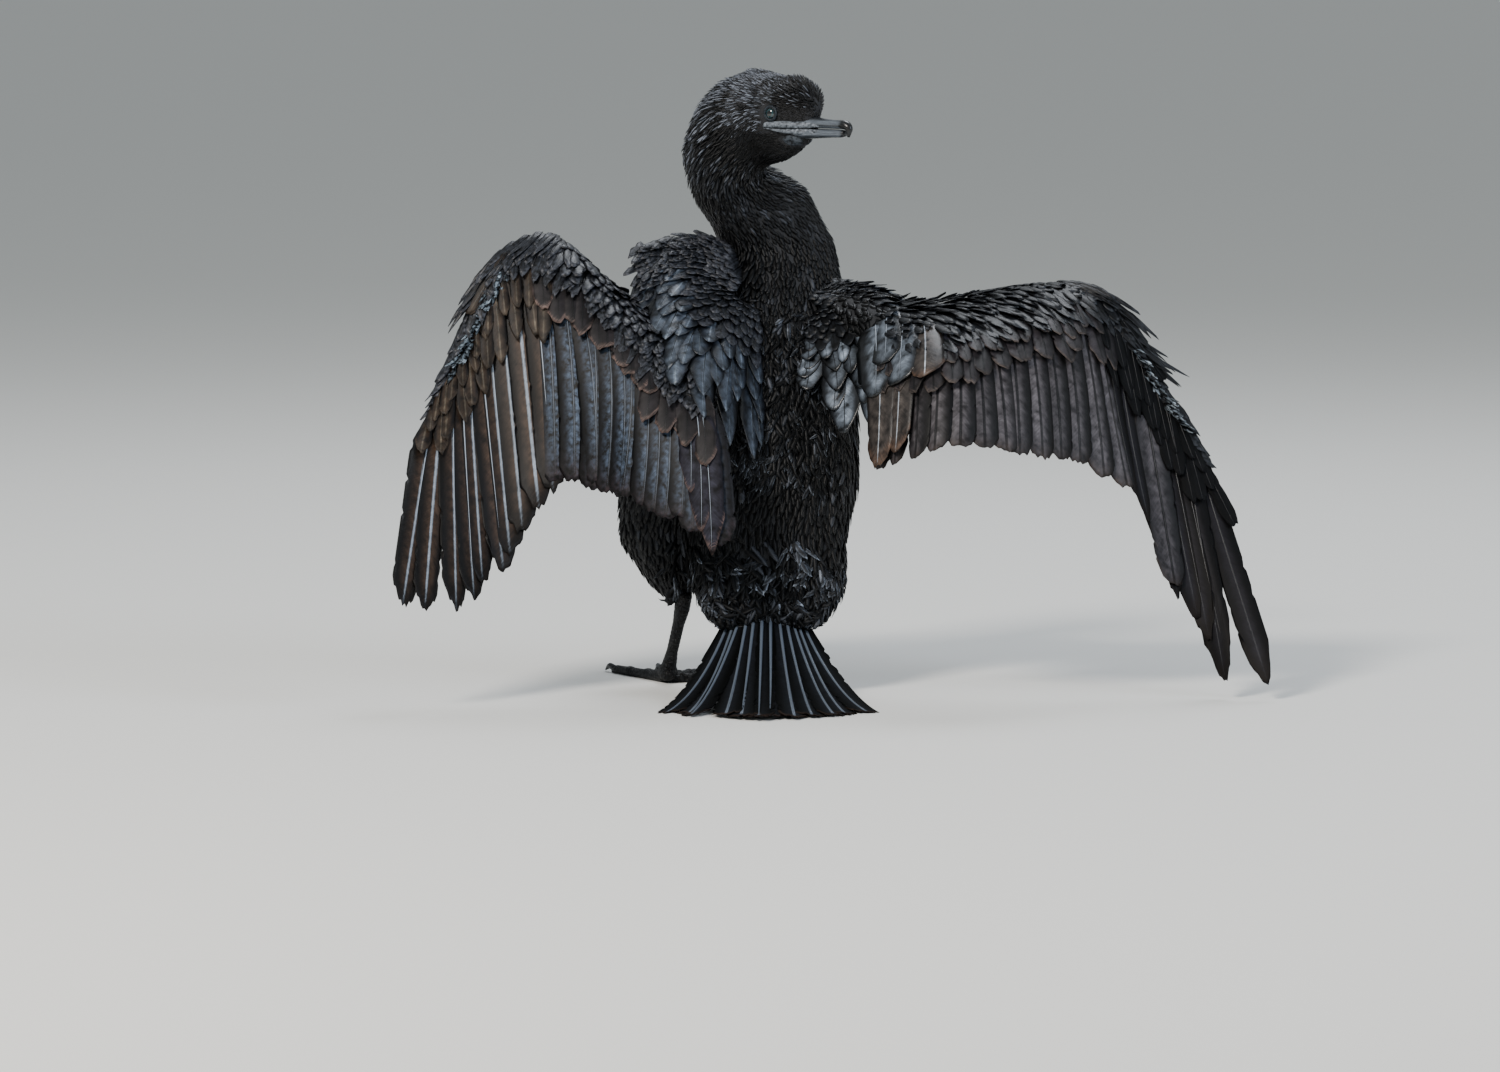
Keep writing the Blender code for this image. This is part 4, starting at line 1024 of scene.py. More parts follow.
EYE_RADIUS = 4.4
PUPIL, IRIS = 0.26, 0.46
eye_finish = new_finish("wet_cornea_over_blue_green_iris", roughness=0.08, coat_weight=1.0,
                        coat_roughness=0.02)
tree = eye_finish.node_tree
gaze_map = node(tree, "UVMap", uv_map="gaze")
rays = node(tree, "Mapping", gaze_map, in_Scale=(4.0, 40.0, 1.0))
rays = node(tree, "TexNoise", rays, in_Scale=1.0, in_Detail=3.0)
iris_colour = node(tree, "Mix", rays, in_6=linear("06171b"), in_7=linear("1f474d"), data_type="RGBA", out=2)
bands = node(tree, "ValToRGB", node(tree, "SeparateXYZ", gaze_map))
stops = bands.node.color_ramp.elements
stops[0].position, stops[1].position = PUPIL - 0.01, PUPIL + 0.01
for stop, value in ((IRIS - 0.05, 1.0), (IRIS, 0.12), (IRIS + 0.05, 0.05)):
    stops.new(stop).color = (value, value, value, 1)
ball = node(tree, "Mix", 1.0, in_6=iris_colour, in_7=bands, data_type="RGBA", blend_type="MULTIPLY", out=2)
dress(eye_finish, ball)

for side_name, side in (("right", 1), ("left", -1)):
    bm = bmesh.new()
    bmesh.ops.create_uvsphere(bm, u_segments=48, v_segments=32, radius=EYE_RADIUS * MM)
    map_layer = bm.loops.layers.uv.new("gaze")
    for face in bm.faces:
        middle_turn = np.arctan2(face.calc_center_median().y, face.calc_center_median().x)
        for loop in face.loops:
            co = loop.vert.co
            angle = np.arccos(np.clip(co.z / co.length, -1, 1)) / pi * 2
            turn = np.arctan2(co.y, co.x) if abs(co.x) + abs(co.y) > 1e-7 else middle_turn
            turn += 2 * pi * round((middle_turn - turn) / (2 * pi))
            loop[map_layer].uv = (angle, turn / (2 * pi))
    bmesh.ops.transform(bm, matrix=eye_frame(side, EYE_FORWARD, EYE_OUT), verts=bm.verts)
    finished(f"eyeball_{side_name}", [bm], eye_finish, [f"eye_{side_name}"])


# The bill: two sheaths of grey-blue horn, darker along the culmen, at the hooked nail and towards the keel,
# closed along the mouth, where painted shade darkens the line between them. A groove runs along each side of
# the upper one to the nail, darkened by painted shade; the nostrils in it are closed.

# Stations along the bill in mm: forward from between the eyes, up from the mouth, half width, height.
UPPER_BILL = ((4, 3.8, 9.0, 3.6), (16, 4.2, 7.6, 4.0), (28, 3.5, 5.2, 3.3), (42, 3.0, 4.0, 2.8),
              (52, 3.0, 3.7, 2.8), (55.5, 2.7, 2.6, 2.1))
BILL_HOOK = ((47, 2.8, 2.6, 2.0), (51, 2.9, 3.5, 2.7), (54.5, 2.7, 3.4, 2.8), (57.6, 0.3, 2.3, 2.2),
             (57.0, -4.6, 0.9, 0.8))
LOWER_BILL = ((4, -3.6, 9.4, 3.4), (16, -3.6, 7.8, 3.4), (28, -3.2, 5.2, 3.2), (42, -2.8, 3.8, 2.7),
              (50, -2.7, 3.4, 2.5), (53.6, -2.4, 2.2, 1.9))
GROOVE_AT, GROOVE_DEPTH, GROOVE_REACH, GROOVE_END = 0.5, 0.16, 0.2, 50
LIP_GAP = 0.18
NAIL_AT, CULMEN_UP, GROOVE_UP, KEEL_UP = 50.5, 4.7, 2.1, -4.0


def bill_sheath(stations, way, rings=40, sides=36):
    """Half a bill, flat along the mouth, with a groove along each side where way is up."""
    values = along_curve(np.array(stations, float), np.linspace(0, len(stations) - 1, rings))
    turns = np.arange(sides) * 2 * pi / sides
    out = []
    for along, up, wide, high in values:
        off = np.abs(np.abs(turns - pi / 2) - (pi / 2 - GROOVE_AT))
        groove = GROOVE_DEPTH * np.exp(-(off / GROOVE_REACH) ** 2) * (way > 0) * (along < GROOVE_END)
        side = np.cos(turns) * wide * (1 - groove)
        rise = up + np.sin(turns) * high * (1 - groove)
        rise = np.maximum(rise, LIP_GAP) if way > 0 else np.minimum(rise, -LIP_GAP)
        out.append([in_head(along, s, MOUTH_LEVEL + r) for s, r in zip(side, rise)])
    return wrapped(out)


def smooth_loft(stations, sides=24):
    """A rounded body through a smooth curve of the bill's stations."""
    values = along_curve(np.array(stations, float), np.linspace(0, len(stations) - 1, sides))
    return loft([(in_head(f, 0, MOUTH_LEVEL + u), w, h) for f, u, w, h in values], HEAD_SIDE, sides)


# Horn: hard and softly shining, streaked along its length, grey-blue with a dark ridge and nail, and with
# painted shade along the mouth and in the groove.
bill_finish = new_finish("grey_blue_bill_horn", roughness=0.3)
tree = bill_finish.node_tree
dark_horn_and_shade = node(tree, "Attribute", attribute_name="dark", out="Fac")
turned = node(tree, "Mapping", node(tree, "TexCoord", out="Object"), in_Rotation=(0.0, 0.0, HEAD_TURN))
stretched = node(tree, "Mapping", turned, in_Scale=(90.0, 900.0, 900.0))
streaks = node(tree, "TexNoise", stretched, in_Scale=1.0, in_Detail=4.0)
horn = node(tree, "Mix", streaks, in_6=linear("1b1f24"), in_7=linear("7d8691"), data_type="RGBA", out=2)
horn = node(tree, "Mix", dark_horn_and_shade, in_6=horn, in_7=linear("0b0c0e"), data_type="RGBA", out=2)
dress(bill_finish, horn, streaks, 0.5, 0.2 * MM)

for name, shapes, stands_for in (
    ("upper_bill", [bill_sheath(UPPER_BILL, 1), smooth_loft(BILL_HOOK)], "bill_upper"),
    ("lower_bill", [bill_sheath(LOWER_BILL, -1)], "bill_lower"),
):
    made = finished(name, shapes, bill_finish, [stands_for])
    places = np.array([vert.co for vert in made.data.vertices]) - in_head(0, 0, MOUTH_LEVEL)
    along, high = places @ BILL_WAY / MM, places @ UP / MM
    # Dark horn on the ridge and nail, darker to the keel; painted shade on the mouth line and in the groove.
    dark = 0.85 * ramp(high, CULMEN_UP, 1.0) + 0.95 * ramp(along, NAIL_AT, 3)
    dark += 0.8 * ramp(-np.abs(high), -0.9, 0.9) + 0.6 * ramp(-high, -KEEL_UP, 0.8)
    dark += 0.7 * np.exp(-((high - GROOVE_UP) / 0.7) ** 2) * ramp(along, 26, 8)
    made.data.attributes.new("dark", "FLOAT", "POINT").data.foreach_set("value", np.clip(dark, 0, 1))


# The legs and feet: bare shanks with scutes, four toes in one web of skin, and curved claws. Toes and
# shank are lofted bodies whose rings swell at the joints and dip between scutes.

# Each leg's ankle and heel in the bird's measures, the side that is out, and the toes' ways in degrees.
LEGS = {
    "left": ((-57, 26, 52), (-67, 44, 7), -1, (30, 6, -26, -82)),
    "right": ((16, 37, 52), (10, 58, 7), 1, (14, -12, -42, -98)),
}
TOE_LENGTHS = (70, 60, 43, 25)
# Stations of share of the length, half width and depth; a claw's: mm past the toe, the same, and height.
SHANK = ((-0.12, 4.6, 5.8), (0.08, 5.0, 6.8), (0.3, 3.8, 5.2), (0.7, 3.6, 4.8), (0.95, 5.0, 5.4),
         (1.0, 4.6, 4.8))
TOE = ((0.0, 5.0, 4.3), (0.42, 3.3, 3.2), (0.92, 3.0, 2.9), (1.0, 1.6, 2.1))
CLAW = ((-3, 1.9, 1.9, 2.8), (0, 1.9, 1.9, 3.4), (5, 1.5, 1.8, 3.8), (10, 0.45, 0.6, 1.0))
HEEL = ((-9, -3, 2.0, 2.0), (-7, -2, 4.4, 3.8), (0, 0, 6.3, 6.2), (9, -3, 5.8, 4.4), (13, -4, 3.0, 2.6))
SCUTE = 2.6
SCUTE_DIP = 0.055
WEB_SCALLOP, WEB_LEVEL, WEB_THICK = 0.17, 0.95, 0.6


def scuted(stations, shares, length, joints=1.0):
    """Shares of a limb's length, each with its half width and depth, which dip every SCUTE millimetres."""
    table = np.array(stations)
    sizes = np.stack([np.interp(shares, table[:, 0], table[:, k]) for k in (1, 2)], axis=1)
    dip = 1 - SCUTE_DIP * np.abs(np.cos(pi * np.linspace(0, length, len(shares)) / SCUTE)) ** 6
    return [(t, w, d) for t, (w, d) in zip(shares, sizes * (joints * dip)[:, None])]


# Leg skin: leathery, in small scales that are greyer than the creases between them, whose dark is painted
# shade. Web: thinner and finely creased. Claws: smooth black horn, which glints.
leg_finish = textured("scaly_leg_skin", 0.5, ("020202", "15171a"), 2.6, 0.45, scales=True)
web_finish = textured("creased_web_skin", 0.45, ("040505", "121316"), 1.2, 0.25)
claw_finish = textured("black_claw_horn", 0.25, ("07080a", "1a1b1f"), 1.5, 0.05)

for side_name, (ankle, heel_joint, outer, angles) in LEGS.items():
    ankle, heel_joint = np.array(ankle, float), np.array(heel_joint, float)
    heel = heel_joint * (1, 1, 0)
    shank = scuted(SHANK, np.linspace(SHANK[0][0], SHANK[-1][0], 70), np.linalg.norm(heel_joint - ankle))
    limbs = [loft([(at(*(ankle + (heel_joint - ankle) * t)), w, d) for t, w, d in shank], x_way, 20),
             loft([(at(*(heel_joint + (0, dy, dz))), w, d) for dy, dz, w, d in HEEL], x_way, 20)]
    claws, toes = [], []
    for length, angle in zip(TOE_LENGTHS, angles):
        way = np.array((outer * sin(radians(angle)), cos(radians(angle)), 0.0))
        across = np.array((way[1], -way[0], 0.0))
        shares = np.linspace(0, 1, int(length * 1.4))
        joints = 1 + 0.1 * np.exp(-((shares[:, None] - (0.36, 0.68)) / 0.045) ** 2).sum(axis=1)
        limbs.append(loft([(at(*(heel + way * length * t + UP * (d - 0.5))), w, d)
                           for t, w, d in scuted(TOE, shares, length, joints)], across, 16))
        fine = along_curve(np.array(CLAW, float), np.linspace(0, len(CLAW) - 1, 16))
        claws.append(loft([(at(*(heel + way * (length + f) + UP * z)), w, d) for f, w, d, z in fine],
                          across, 14))
        toes.append(heel + way * length * 0.95)
    webs = []
    for near, far in zip(toes, toes[1:]):
        bm = bmesh.new()
        bmesh.ops.create_grid(bm, x_segments=24, y_segments=32, size=0.5)
        for vert in bm.verts:
            u, v = vert.co.x + 0.5, (vert.co.y + 0.5) * 0.98 + 0.02
            spread_to = near * (1 - u) + far * u - heel
            scallop = 1 - WEB_SCALLOP * 4 * u * (1 - u) * v
            ripple = 0.22 * sin(9 * pi * u) * v + 0.12 * noise.noise(Vector((u * 9, v * 14, near[0])))
            vert.co = at(*(heel + spread_to * v * scallop + UP * (WEB_LEVEL + ripple)))
        bmesh.ops.solidify(bm, geom=bm.faces, thickness=WEB_THICK * MM)
        bmesh.ops.recalc_face_normals(bm, faces=bm.faces)
        webs.append(bm)
    finished(f"shank_and_toes_{side_name}", limbs, leg_finish,
             [f"tarsus_{side_name}", f"foot_{side_name}"])
    finished(f"web_{side_name}", webs, web_finish)
    finished(f"claws_{side_name}", claws, claw_finish)


# The tail: twelve stiff feathers in a fan on the floor, the middle pair on top, each a thin blade of
# barbs on a horn shaft that is rooted in the skin. A blade is a closed grid whose columns end unevenly,
# so that the tip frays, and whose edges are notched where barbs have parted.

TAIL = Sheet((
    ((-27, -14, 50), (-49, -80, 12.0), (-69, -140, 0.0)),
    ((-17, -17, 54), (-29, -88, 15.0), (-39, -167, 0.5)),
    ((-6, -18, 56), (-7, -92, 17.0), (-8, -184, 0.8)),
    ((5, -17, 54), (15, -88, 15.0), (23, -169, 0.5)),
    ((15, -14, 50), (38, -80, 12.0), (58, -142, 0.0)),
))
TAIL_FEATHERS = 12
BLADE_THICK = 0.35
BLADE_SLANT = 1.1
SHAFT_RISE = 0.25
SHAFT_END = 0.96


def blade_pattern(columns, rows):
    """A flat closed blade; its upper face has height 0 and its lower face height -1."""
    bm = bmesh.new()
    bmesh.ops.create_grid(bm, x_segments=columns, y_segments=rows, size=1.0)
    bmesh.ops.transform(bm, matrix=Matrix.Translation((0, 1, 0)), verts=bm.verts)
    bmesh.ops.transform(bm, matrix=Matrix.Diagonal((1, 0.5, 1, 1)), verts=bm.verts)
    bmesh.ops.solidify(bm, geom=bm.faces, thickness=1.0)
    bmesh.ops.recalc_face_normals(bm, faces=bm.faces)
    return Pattern(bm)


def shaft_pattern(rows, sides=5):
    """A round tapering shaft as long as the blade, closed at both ends."""
    turns = np.arange(sides) * 2 * pi / sides
    return Pattern(wrapped([[(cos(k), v, sin(k)) for k in turns] for v in np.linspace(0, 1, rows)]))


class Kind:
    """What one kind of large feather is like, with sizes in mm.

    lift is how high its root and its tip stand, root how wide it starts, round_tip and tip_power how long
    and how blunt its tip is, lean how far one edge stands over the next feather, on the side that way
    says, camber how it arches and bow how far it bends aside. fray, notch and ruffle say how worn it is,
    quill how thick its shaft is, and sweep how far it turns from its rib."""

    def __init__(self, blade, width, lift, **more):
        self.blade, self.width, self.lift = blade, width, lift
        self.round_tip, self.tip_power, self.root = 0.5, 2.4, 0.3
        self.lean, self.way, self.camber = 0.9, 1, 0.08
        self.fray, self.notch, self.ruffle = 0.03, 0.15, 0.2
        self.quill, self.bow, self.sweep = 0.5, 0.0, 0.0
        for name, value in more.items():
            setattr(self, name, value)


class Vanes(Plume):
    """Large feathers of one piece. Each takes the next of a square of equal places on the bake map."""

    def __init__(self, rng, per_row):
        super().__init__()
        self.rng, self.per_row, self.number = rng, per_row, 0

    def grow(self, sheet, u, begin, end, kind, finishes, step, tone=1.0):
        """Adds one feather on a sheet, from begin to end metres from the lead edge along rib u.

        step is the distance in metres to the next feather, which it leans on. finishes are the numbers of
        the blade's and the shaft's."""
        rng, blade = self.rng, kind.blade
        columns, column = np.unique(np.round(blade.across, 4), return_inverse=True)
        rows, row = np.unique(np.round(blade.along, 4), return_inverse=True)
        fray = rng.random(len(columns)) * kind.fray
        notches = np.zeros((2, len(rows) + 1))
        for side in (0, 1):
            for k in rng.integers(len(rows) // 4, len(rows), max(1, len(rows) // 6)):
                notches[side, k] = rng.uniform(0.3, 1.0) * kind.notch
        tone = tone * rng.uniform(0.75, 1.25)
        turn = kind.sweep + rng.normal(0.0, 0.16) * kind.ruffle
        twist = rng.normal(0.0, 1.0) * kind.ruffle
        rise = kind.lift[1] * (1 + rng.normal(0.0, 0.5) * kind.ruffle)
        curl = rng.normal(0.0, 1.0) * kind.ruffle
        length = end - begin
        room = 1.0 / self.per_row
        corner = np.array((self.number % self.per_row, self.number // self.per_row)) * room
        self.number += 1

        def laid(across, t, wide, height):
            """Points of the feather, across in half widths and height in metres over its surface."""
            centre = kind.bow * MM * t ** 2 + turn * t * length
            side = across * wide + centre
            lift = (kind.lift[0] + (rise - kind.lift[0]) * t + curl * t ** 3) * MM
            lift = lift + kind.way * (kind.lean + twist * t) * MM * (side - centre) / step
            lift = lift - kind.camber * (side - centre) ** 2 / (kind.width * MM / 2)
            here, out = sheet.beside(u, begin + length * t, side)
            return here + out * (lift + height)[:, None], side

        bow_back = kind.round_tip * np.abs(blade.across) ** kind.tip_power * kind.width * MM / length
        t = blade.along * (1 - bow_back) - fray[column] * blade.along ** 6
        wide = kind.width * MM / 2 * (kind.root + (1 - kind.root) * np.clip(t / 0.25, 0, 1) ** 0.6)
        edge = np.abs(blade.across)
        notch = np.where(blade.across > 0, notches[1][row], notches[0][row])
        edge = np.where(edge > 0.6, edge - notch * (edge - 0.6) / 0.4, edge)
        points, side = laid(np.sign(blade.across) * edge, t, wide, blade.height * BLADE_THICK * MM)
        vane = np.stack([blade.across / 2 + 0.5, blade.along], axis=1)
        local = np.stack([(blade.across / 2 + 0.5) * 0.4 + 0.05 + 0.45 * (blade.height < -0.5),
                          blade.along * 0.9 + 0.05], axis=1)
        barbs = np.stack([side / MM, t * length / MM - np.abs(side) / MM * BLADE_SLANT], axis=1)
        tones = np.full(len(side), tone)
        self.add(points, blade.faces, vane, barbs, tones, corner + local * room, finishes[0])
        if kind.quill <= 0:
            return
        t = SHAFT.along * SHAFT_END
        thick = kind.quill * MM * (1 - 0.8 * t) * np.where(SHAFT.along > 0.99, 0.3, 1.0)
        points, side = laid(SHAFT.across, t, thick, SHAFT_RISE * MM * (1 - t) + SHAFT.height * thick * 0.8)
        vane = np.stack([SHAFT.across / 2 + 0.5, SHAFT.along], axis=1)
        local = np.stack([0.97 + SHAFT.across * 0.01, SHAFT.along * 0.9 + 0.05], axis=1)
        barbs = np.stack([side / MM, t * length / MM], axis=1)
        self.add(points, SHAFT.faces, vane, barbs, np.ones(len(side)), corner + local * room, finishes[1])


def spread(sheet, count, first, last, share):
    """Ribs for count feathers, evenly far apart where they are the given share out from the quill line."""
    ribs = np.linspace(first, last, 121)
    reach, full = sheet.lengths(ribs)
    points = sheet.point(ribs, reach + (full - reach) * share)
    run = np.concatenate([[0.0], np.cumsum(np.linalg.norm(np.diff(points, axis=0), axis=1))])
    return np.interp(np.linspace(0, run[-1], count), run, ribs)


# Tail feathers: stiff, matt and black, worn brown at the very tip. Horn shafts: a soft slate gloss.
tail_black = plumage("stiff_tail_feather", "6b7480", "131519", "070809", "020303", "241d19", 0.8, 0.06,
                     tip_start=0.955, tip_reach=0.03, worn=0.05, edge_start=0.5, shadow=0.3)
slate_shaft = new_finish("slate_horn_shaft", base_color=linear("56606d"), roughness=0.35)

SHAFT = shaft_pattern(12)
BLADE_LARGE = blade_pattern(12, 44)
rng = np.random.default_rng(11)
vanes = Vanes(rng, 4)
middle = (TAIL_FEATHERS - 1) / 2
for i, u in enumerate(spread(TAIL, TAIL_FEATHERS, 0.0, TAIL.last, 0.8)):
    under = abs(i - middle) / middle
    kind = Kind(BLADE_LARGE, 19.0, (-1.5 * under, 2.4 - 1.6 * under), root=0.35, lean=1.0,
                way=1 if i < middle else -1, quill=1.25, ruffle=0.12, fray=0.06, notch=0.3)
    vanes.grow(TAIL, u, 0.0, float(TAIL.lengths(u)[1]) * rng.uniform(0.98, 1.0), kind, (0, 1), 12 * MM)
vanes.join("tail_feathers", [tail_black, slate_shaft], "tail_feathers", ["tail"])


# The flight feathers: ten primaries on the hand and thirteen secondaries on the arm of each wing, stiff
# blades on shafts that are rooted along the arm, each leaning on the next. One broad feather more lies
# over the inner primaries of the right wing.

PRIMARIES = 10
SECONDARIES = 13
WRIST = 4.0
UNDER_ARM = 3 * MM
BROAD_AT = 5.3


def steps_of(sheet, ribs, s):
    """The distance in metres from each rib to the next, measured s metres from the lead edge."""
    gaps = np.linalg.norm(np.diff(sheet.point(ribs, s), axis=0), axis=1)
    return np.maximum(np.append(gaps, gaps[-1]), 5 * MM)


# Flight feathers: brown and matt on the left where the sun has worn them, black or grey-brown with a soft
# gloss on the right, blotched by wear. Each has painted shade on the half that the next feather shades, and
# the right ones' lighter middles are partly painted sheen. Horn shafts: pale where lit through, dark
# elsewhere.
pale_shaft = new_finish("pale_horn_shaft", base_color=linear("97a1ae"), roughness=0.4)
dark_shaft = new_finish("dark_horn_shaft", base_color=linear("16181b"), roughness=0.35)
flight = {
    "left": (
        plumage("worn_brown_primary", "7f8995", "392c23", "221a15", "060505", "0d0a08", 0.5, 0.22, mottle=0.6,
                edge_start=0.5, shadow=0.6),
        plumage("slate_secondary", "1f242b", "313c4b", "1a1d25", "060508", "1e1719", 0.5, 0.22, mottle=1.3,
                blotch_size=3.0, shadow=0.85, edge_start=0.6, tip_start=0.82, tip_reach=0.2),
        pale_shaft, slate_shaft),
    "right": (
        plumage("glossy_black_primary", "26262b", "1a191d", "09090b", "030303", "110d0b", 0.6, 0.14,
                shadow=0.6),
        plumage("grey_brown_secondary", "1c1b1d", "474447", "302e31", "070606", "2a221d", 0.5, 0.22,
                mottle=0.7, edge_start=0.7, shadow=0.92, tip_start=0.9),
        dark_shaft, dark_shaft),
}

wing_rng = {"left": np.random.default_rng(21), "right": np.random.default_rng(22)}
for side_name, wing in WINGS.items():
    left = side_name == "left"
    rng, sheet = wing_rng[side_name], wing["sheet"]
    primary = Kind(BLADE_LARGE, 21.0 if left else 17.0, (-1.5, 0.0), lean=1.3, quill=0.6, ruffle=0.12,
                   round_tip=0.8 if left else 1.6, tip_power=2.0, bow=0.0 if left else 1.5, camber=0.12)
    secondary = Kind(BLADE_LARGE, 22.0, (-1.5, 0.0), lean=1.4, quill=0.45 if left else 0.35, camber=0.18,
                     ruffle=0.14, round_tip=0.42, tip_power=3.0, fray=0.02)
    vanes = Vanes(rng, 6)
    for count, first, last, kind, finishes in (
        (PRIMARIES, WRIST + 0.15, 8.0 if left else 7.78, primary, (0, 2)),
        (SECONDARIES, 0.1, WRIST - 0.08, secondary, (1, 3)),
    ):
        ribs = spread(sheet, count, first, last, 0.35)
        reach, full = sheet.lengths(ribs)
        steps = steps_of(sheet, ribs, reach + (full - reach) * 0.4)
        for u, begin, end, step in zip(ribs, reach - UNDER_ARM, full, steps):
            vanes.grow(sheet, u, begin, end * rng.uniform(0.975, 1.0), kind, finishes, step)
    if not left:
        broad = Kind(BLADE_LARGE, 27.0, (0.4, 1.6), lean=0.4, quill=0.3, ruffle=0.0, root=0.7, round_tip=0.55,
                     camber=0.1)
        reach, full = (float(value) for value in sheet.lengths(BROAD_AT))
        vanes.grow(sheet, BROAD_AT, reach + 40 * MM, full + 4 * MM, broad, (1, 3), 20 * MM)
    vanes.join(f"flight_feathers_{side_name}", flight[side_name], "wing_feathers",
               [f"wing_{side_name}_arm", f"wing_{side_name}_hand"])


# The coverts: rows of smaller feathers, rooted in the skin, that cover the flight feathers' roots up to
# the lead edge of each wing, with the three stiff ones of the thumb, loose ones that stand out at the
# wrist, and the down bared behind them.

# Coverts: silky, each with a lighter worn edge that draws the row. The left lesser coverts' grey middles and
# tips are partly their own grey and partly painted highlight. Down: matt and pale, in soft tufts.
covert = {
    "left": (
        plumage("pale_tipped_greater_covert", "0d0c0e", "151316", "1d1a1b", "3c3331", "52443f", 0.5, 0.22,
                tip_start=0.9, tip_reach=0.1, mottle=0.7, edge_start=0.85),
        plumage("grey_tipped_covert", "0b0c0e", "22252b", "14161a", "060607", "33353b", 0.42, 0.3,
                tip_start=0.6, tip_reach=0.4, edge_start=0.7, mottle=1.1, worn=0.7, streak=1.0,
                blotch_size=2.2),
        plumage("brown_primary_covert", "5f5649", "2e251d", "1f1814", "060505", "2f271f", 0.5, 0.22,
                mottle=0.8, edge_start=0.5),
        dark_shaft,
        plumage("white_down_of_the_wing", "66717a", "5d6872", "3d464e", "0d0f11", "8b98a3", 0.7, 0.1,
                mottle=1.6, blotch_size=2.5)),
    "right": (
        plumage("light_edged_greater_covert", "0e0d0e", "242224", "2b282b", "2f2a29", "4b423d", 0.5, 0.22,
                tip_start=0.9, edge_start=0.88, mottle=0.7, shadow=0.75),
        plumage("dark_glossy_covert", "08090a", "14161a", "0b0c0f", "050506", "22252a", 0.42, 0.25,
                tip_start=0.8, edge_start=0.75, mottle=0.9),
        plumage("black_primary_covert", "0d0e11", "0a0b0d", "08090a", "0c0d0f", "0f1012", 0.7, 0.1,
                tip_start=0.93, edge_start=0.9, mottle=0.3),
        dark_shaft,
        plumage("barred_down_of_the_wing", "7b848b", "6b747b", "565e65", "24282c", "8c959c", 0.7, 0.1,
                mottle=1.2, bars=1.6)),
}
GREATER, LESSER, PRIMARY_COVERT, COVERT_SHAFT, DOWN = range(5)

# Rows of coverts: root past the quills, length, width, lift at the tip, all in mm, feathers and finish.
ROWS = {
    "left": {
        "arm": ((-8, 50, 14, 3.8, 15, GREATER), (-17, 33, 9, 4.4, 19, LESSER))
        + tuple((-16 - 8.0 * k, 25 - 0.5 * k, 8.2 - 0.2 * k, 4.2, 27, LESSER) for k in range(14)),
        "hand": ((-4, 60, 10, 2.4, 11, PRIMARY_COVERT), (-6, 40, 8, 3.0, 13, PRIMARY_COVERT),
                 (-7, 24, 8, 3.4, 15, LESSER), (-8, 16, 7, 3.0, 18, LESSER)),
        "hand_end": 7.95,
        "sweep": 0.3,
    },
    "right": {
        "arm": ((-8, 50, 14, 3.8, 15, GREATER), (-17, 40, 9, 4.2, 22, GREATER))
        + tuple((-18 - 8.0 * k, 31 - 0.7 * k, 7.0 - 0.12 * k, 4.2, 29, LESSER) for k in range(14)),
        "hand": ((-4, 64, 11, 2.4, 10, PRIMARY_COVERT), (-6, 42, 10, 2.8, 11, PRIMARY_COVERT),
                 (-7, 26, 9, 3.0, 14, LESSER), (-8, 18, 8, 2.6, 17, LESSER)),
        "hand_end": 7.6,
        "sweep": 0.42,
    },
}
MARGIN_ROWS = ((6, 15, 7, 50, 2.0), (2, 13, 6.5, 52, 1.6), (-2, 11, 6, 54, 1.2))
SMALL_COVERT = {"quill": 0.0, "round_tip": 1.1, "tip_power": 1.5, "fray": 0.14, "notch": 0.45, "ruffle": 0.7}
LARGE_COVERT = {"quill": 0.3, "round_tip": 0.7, "tip_power": 1.9, "fray": 0.06, "notch": 0.2, "ruffle": 0.3,
                "sweep": 0.05}
THUMB = 4.75
WRIST_RUFF = 3.3, 5.6
NEAR_STEP = 6 * MM
BLADE_MIDDLE = blade_pattern(8, 18)
BLADE_SMALL = blade_pattern(4, 4)

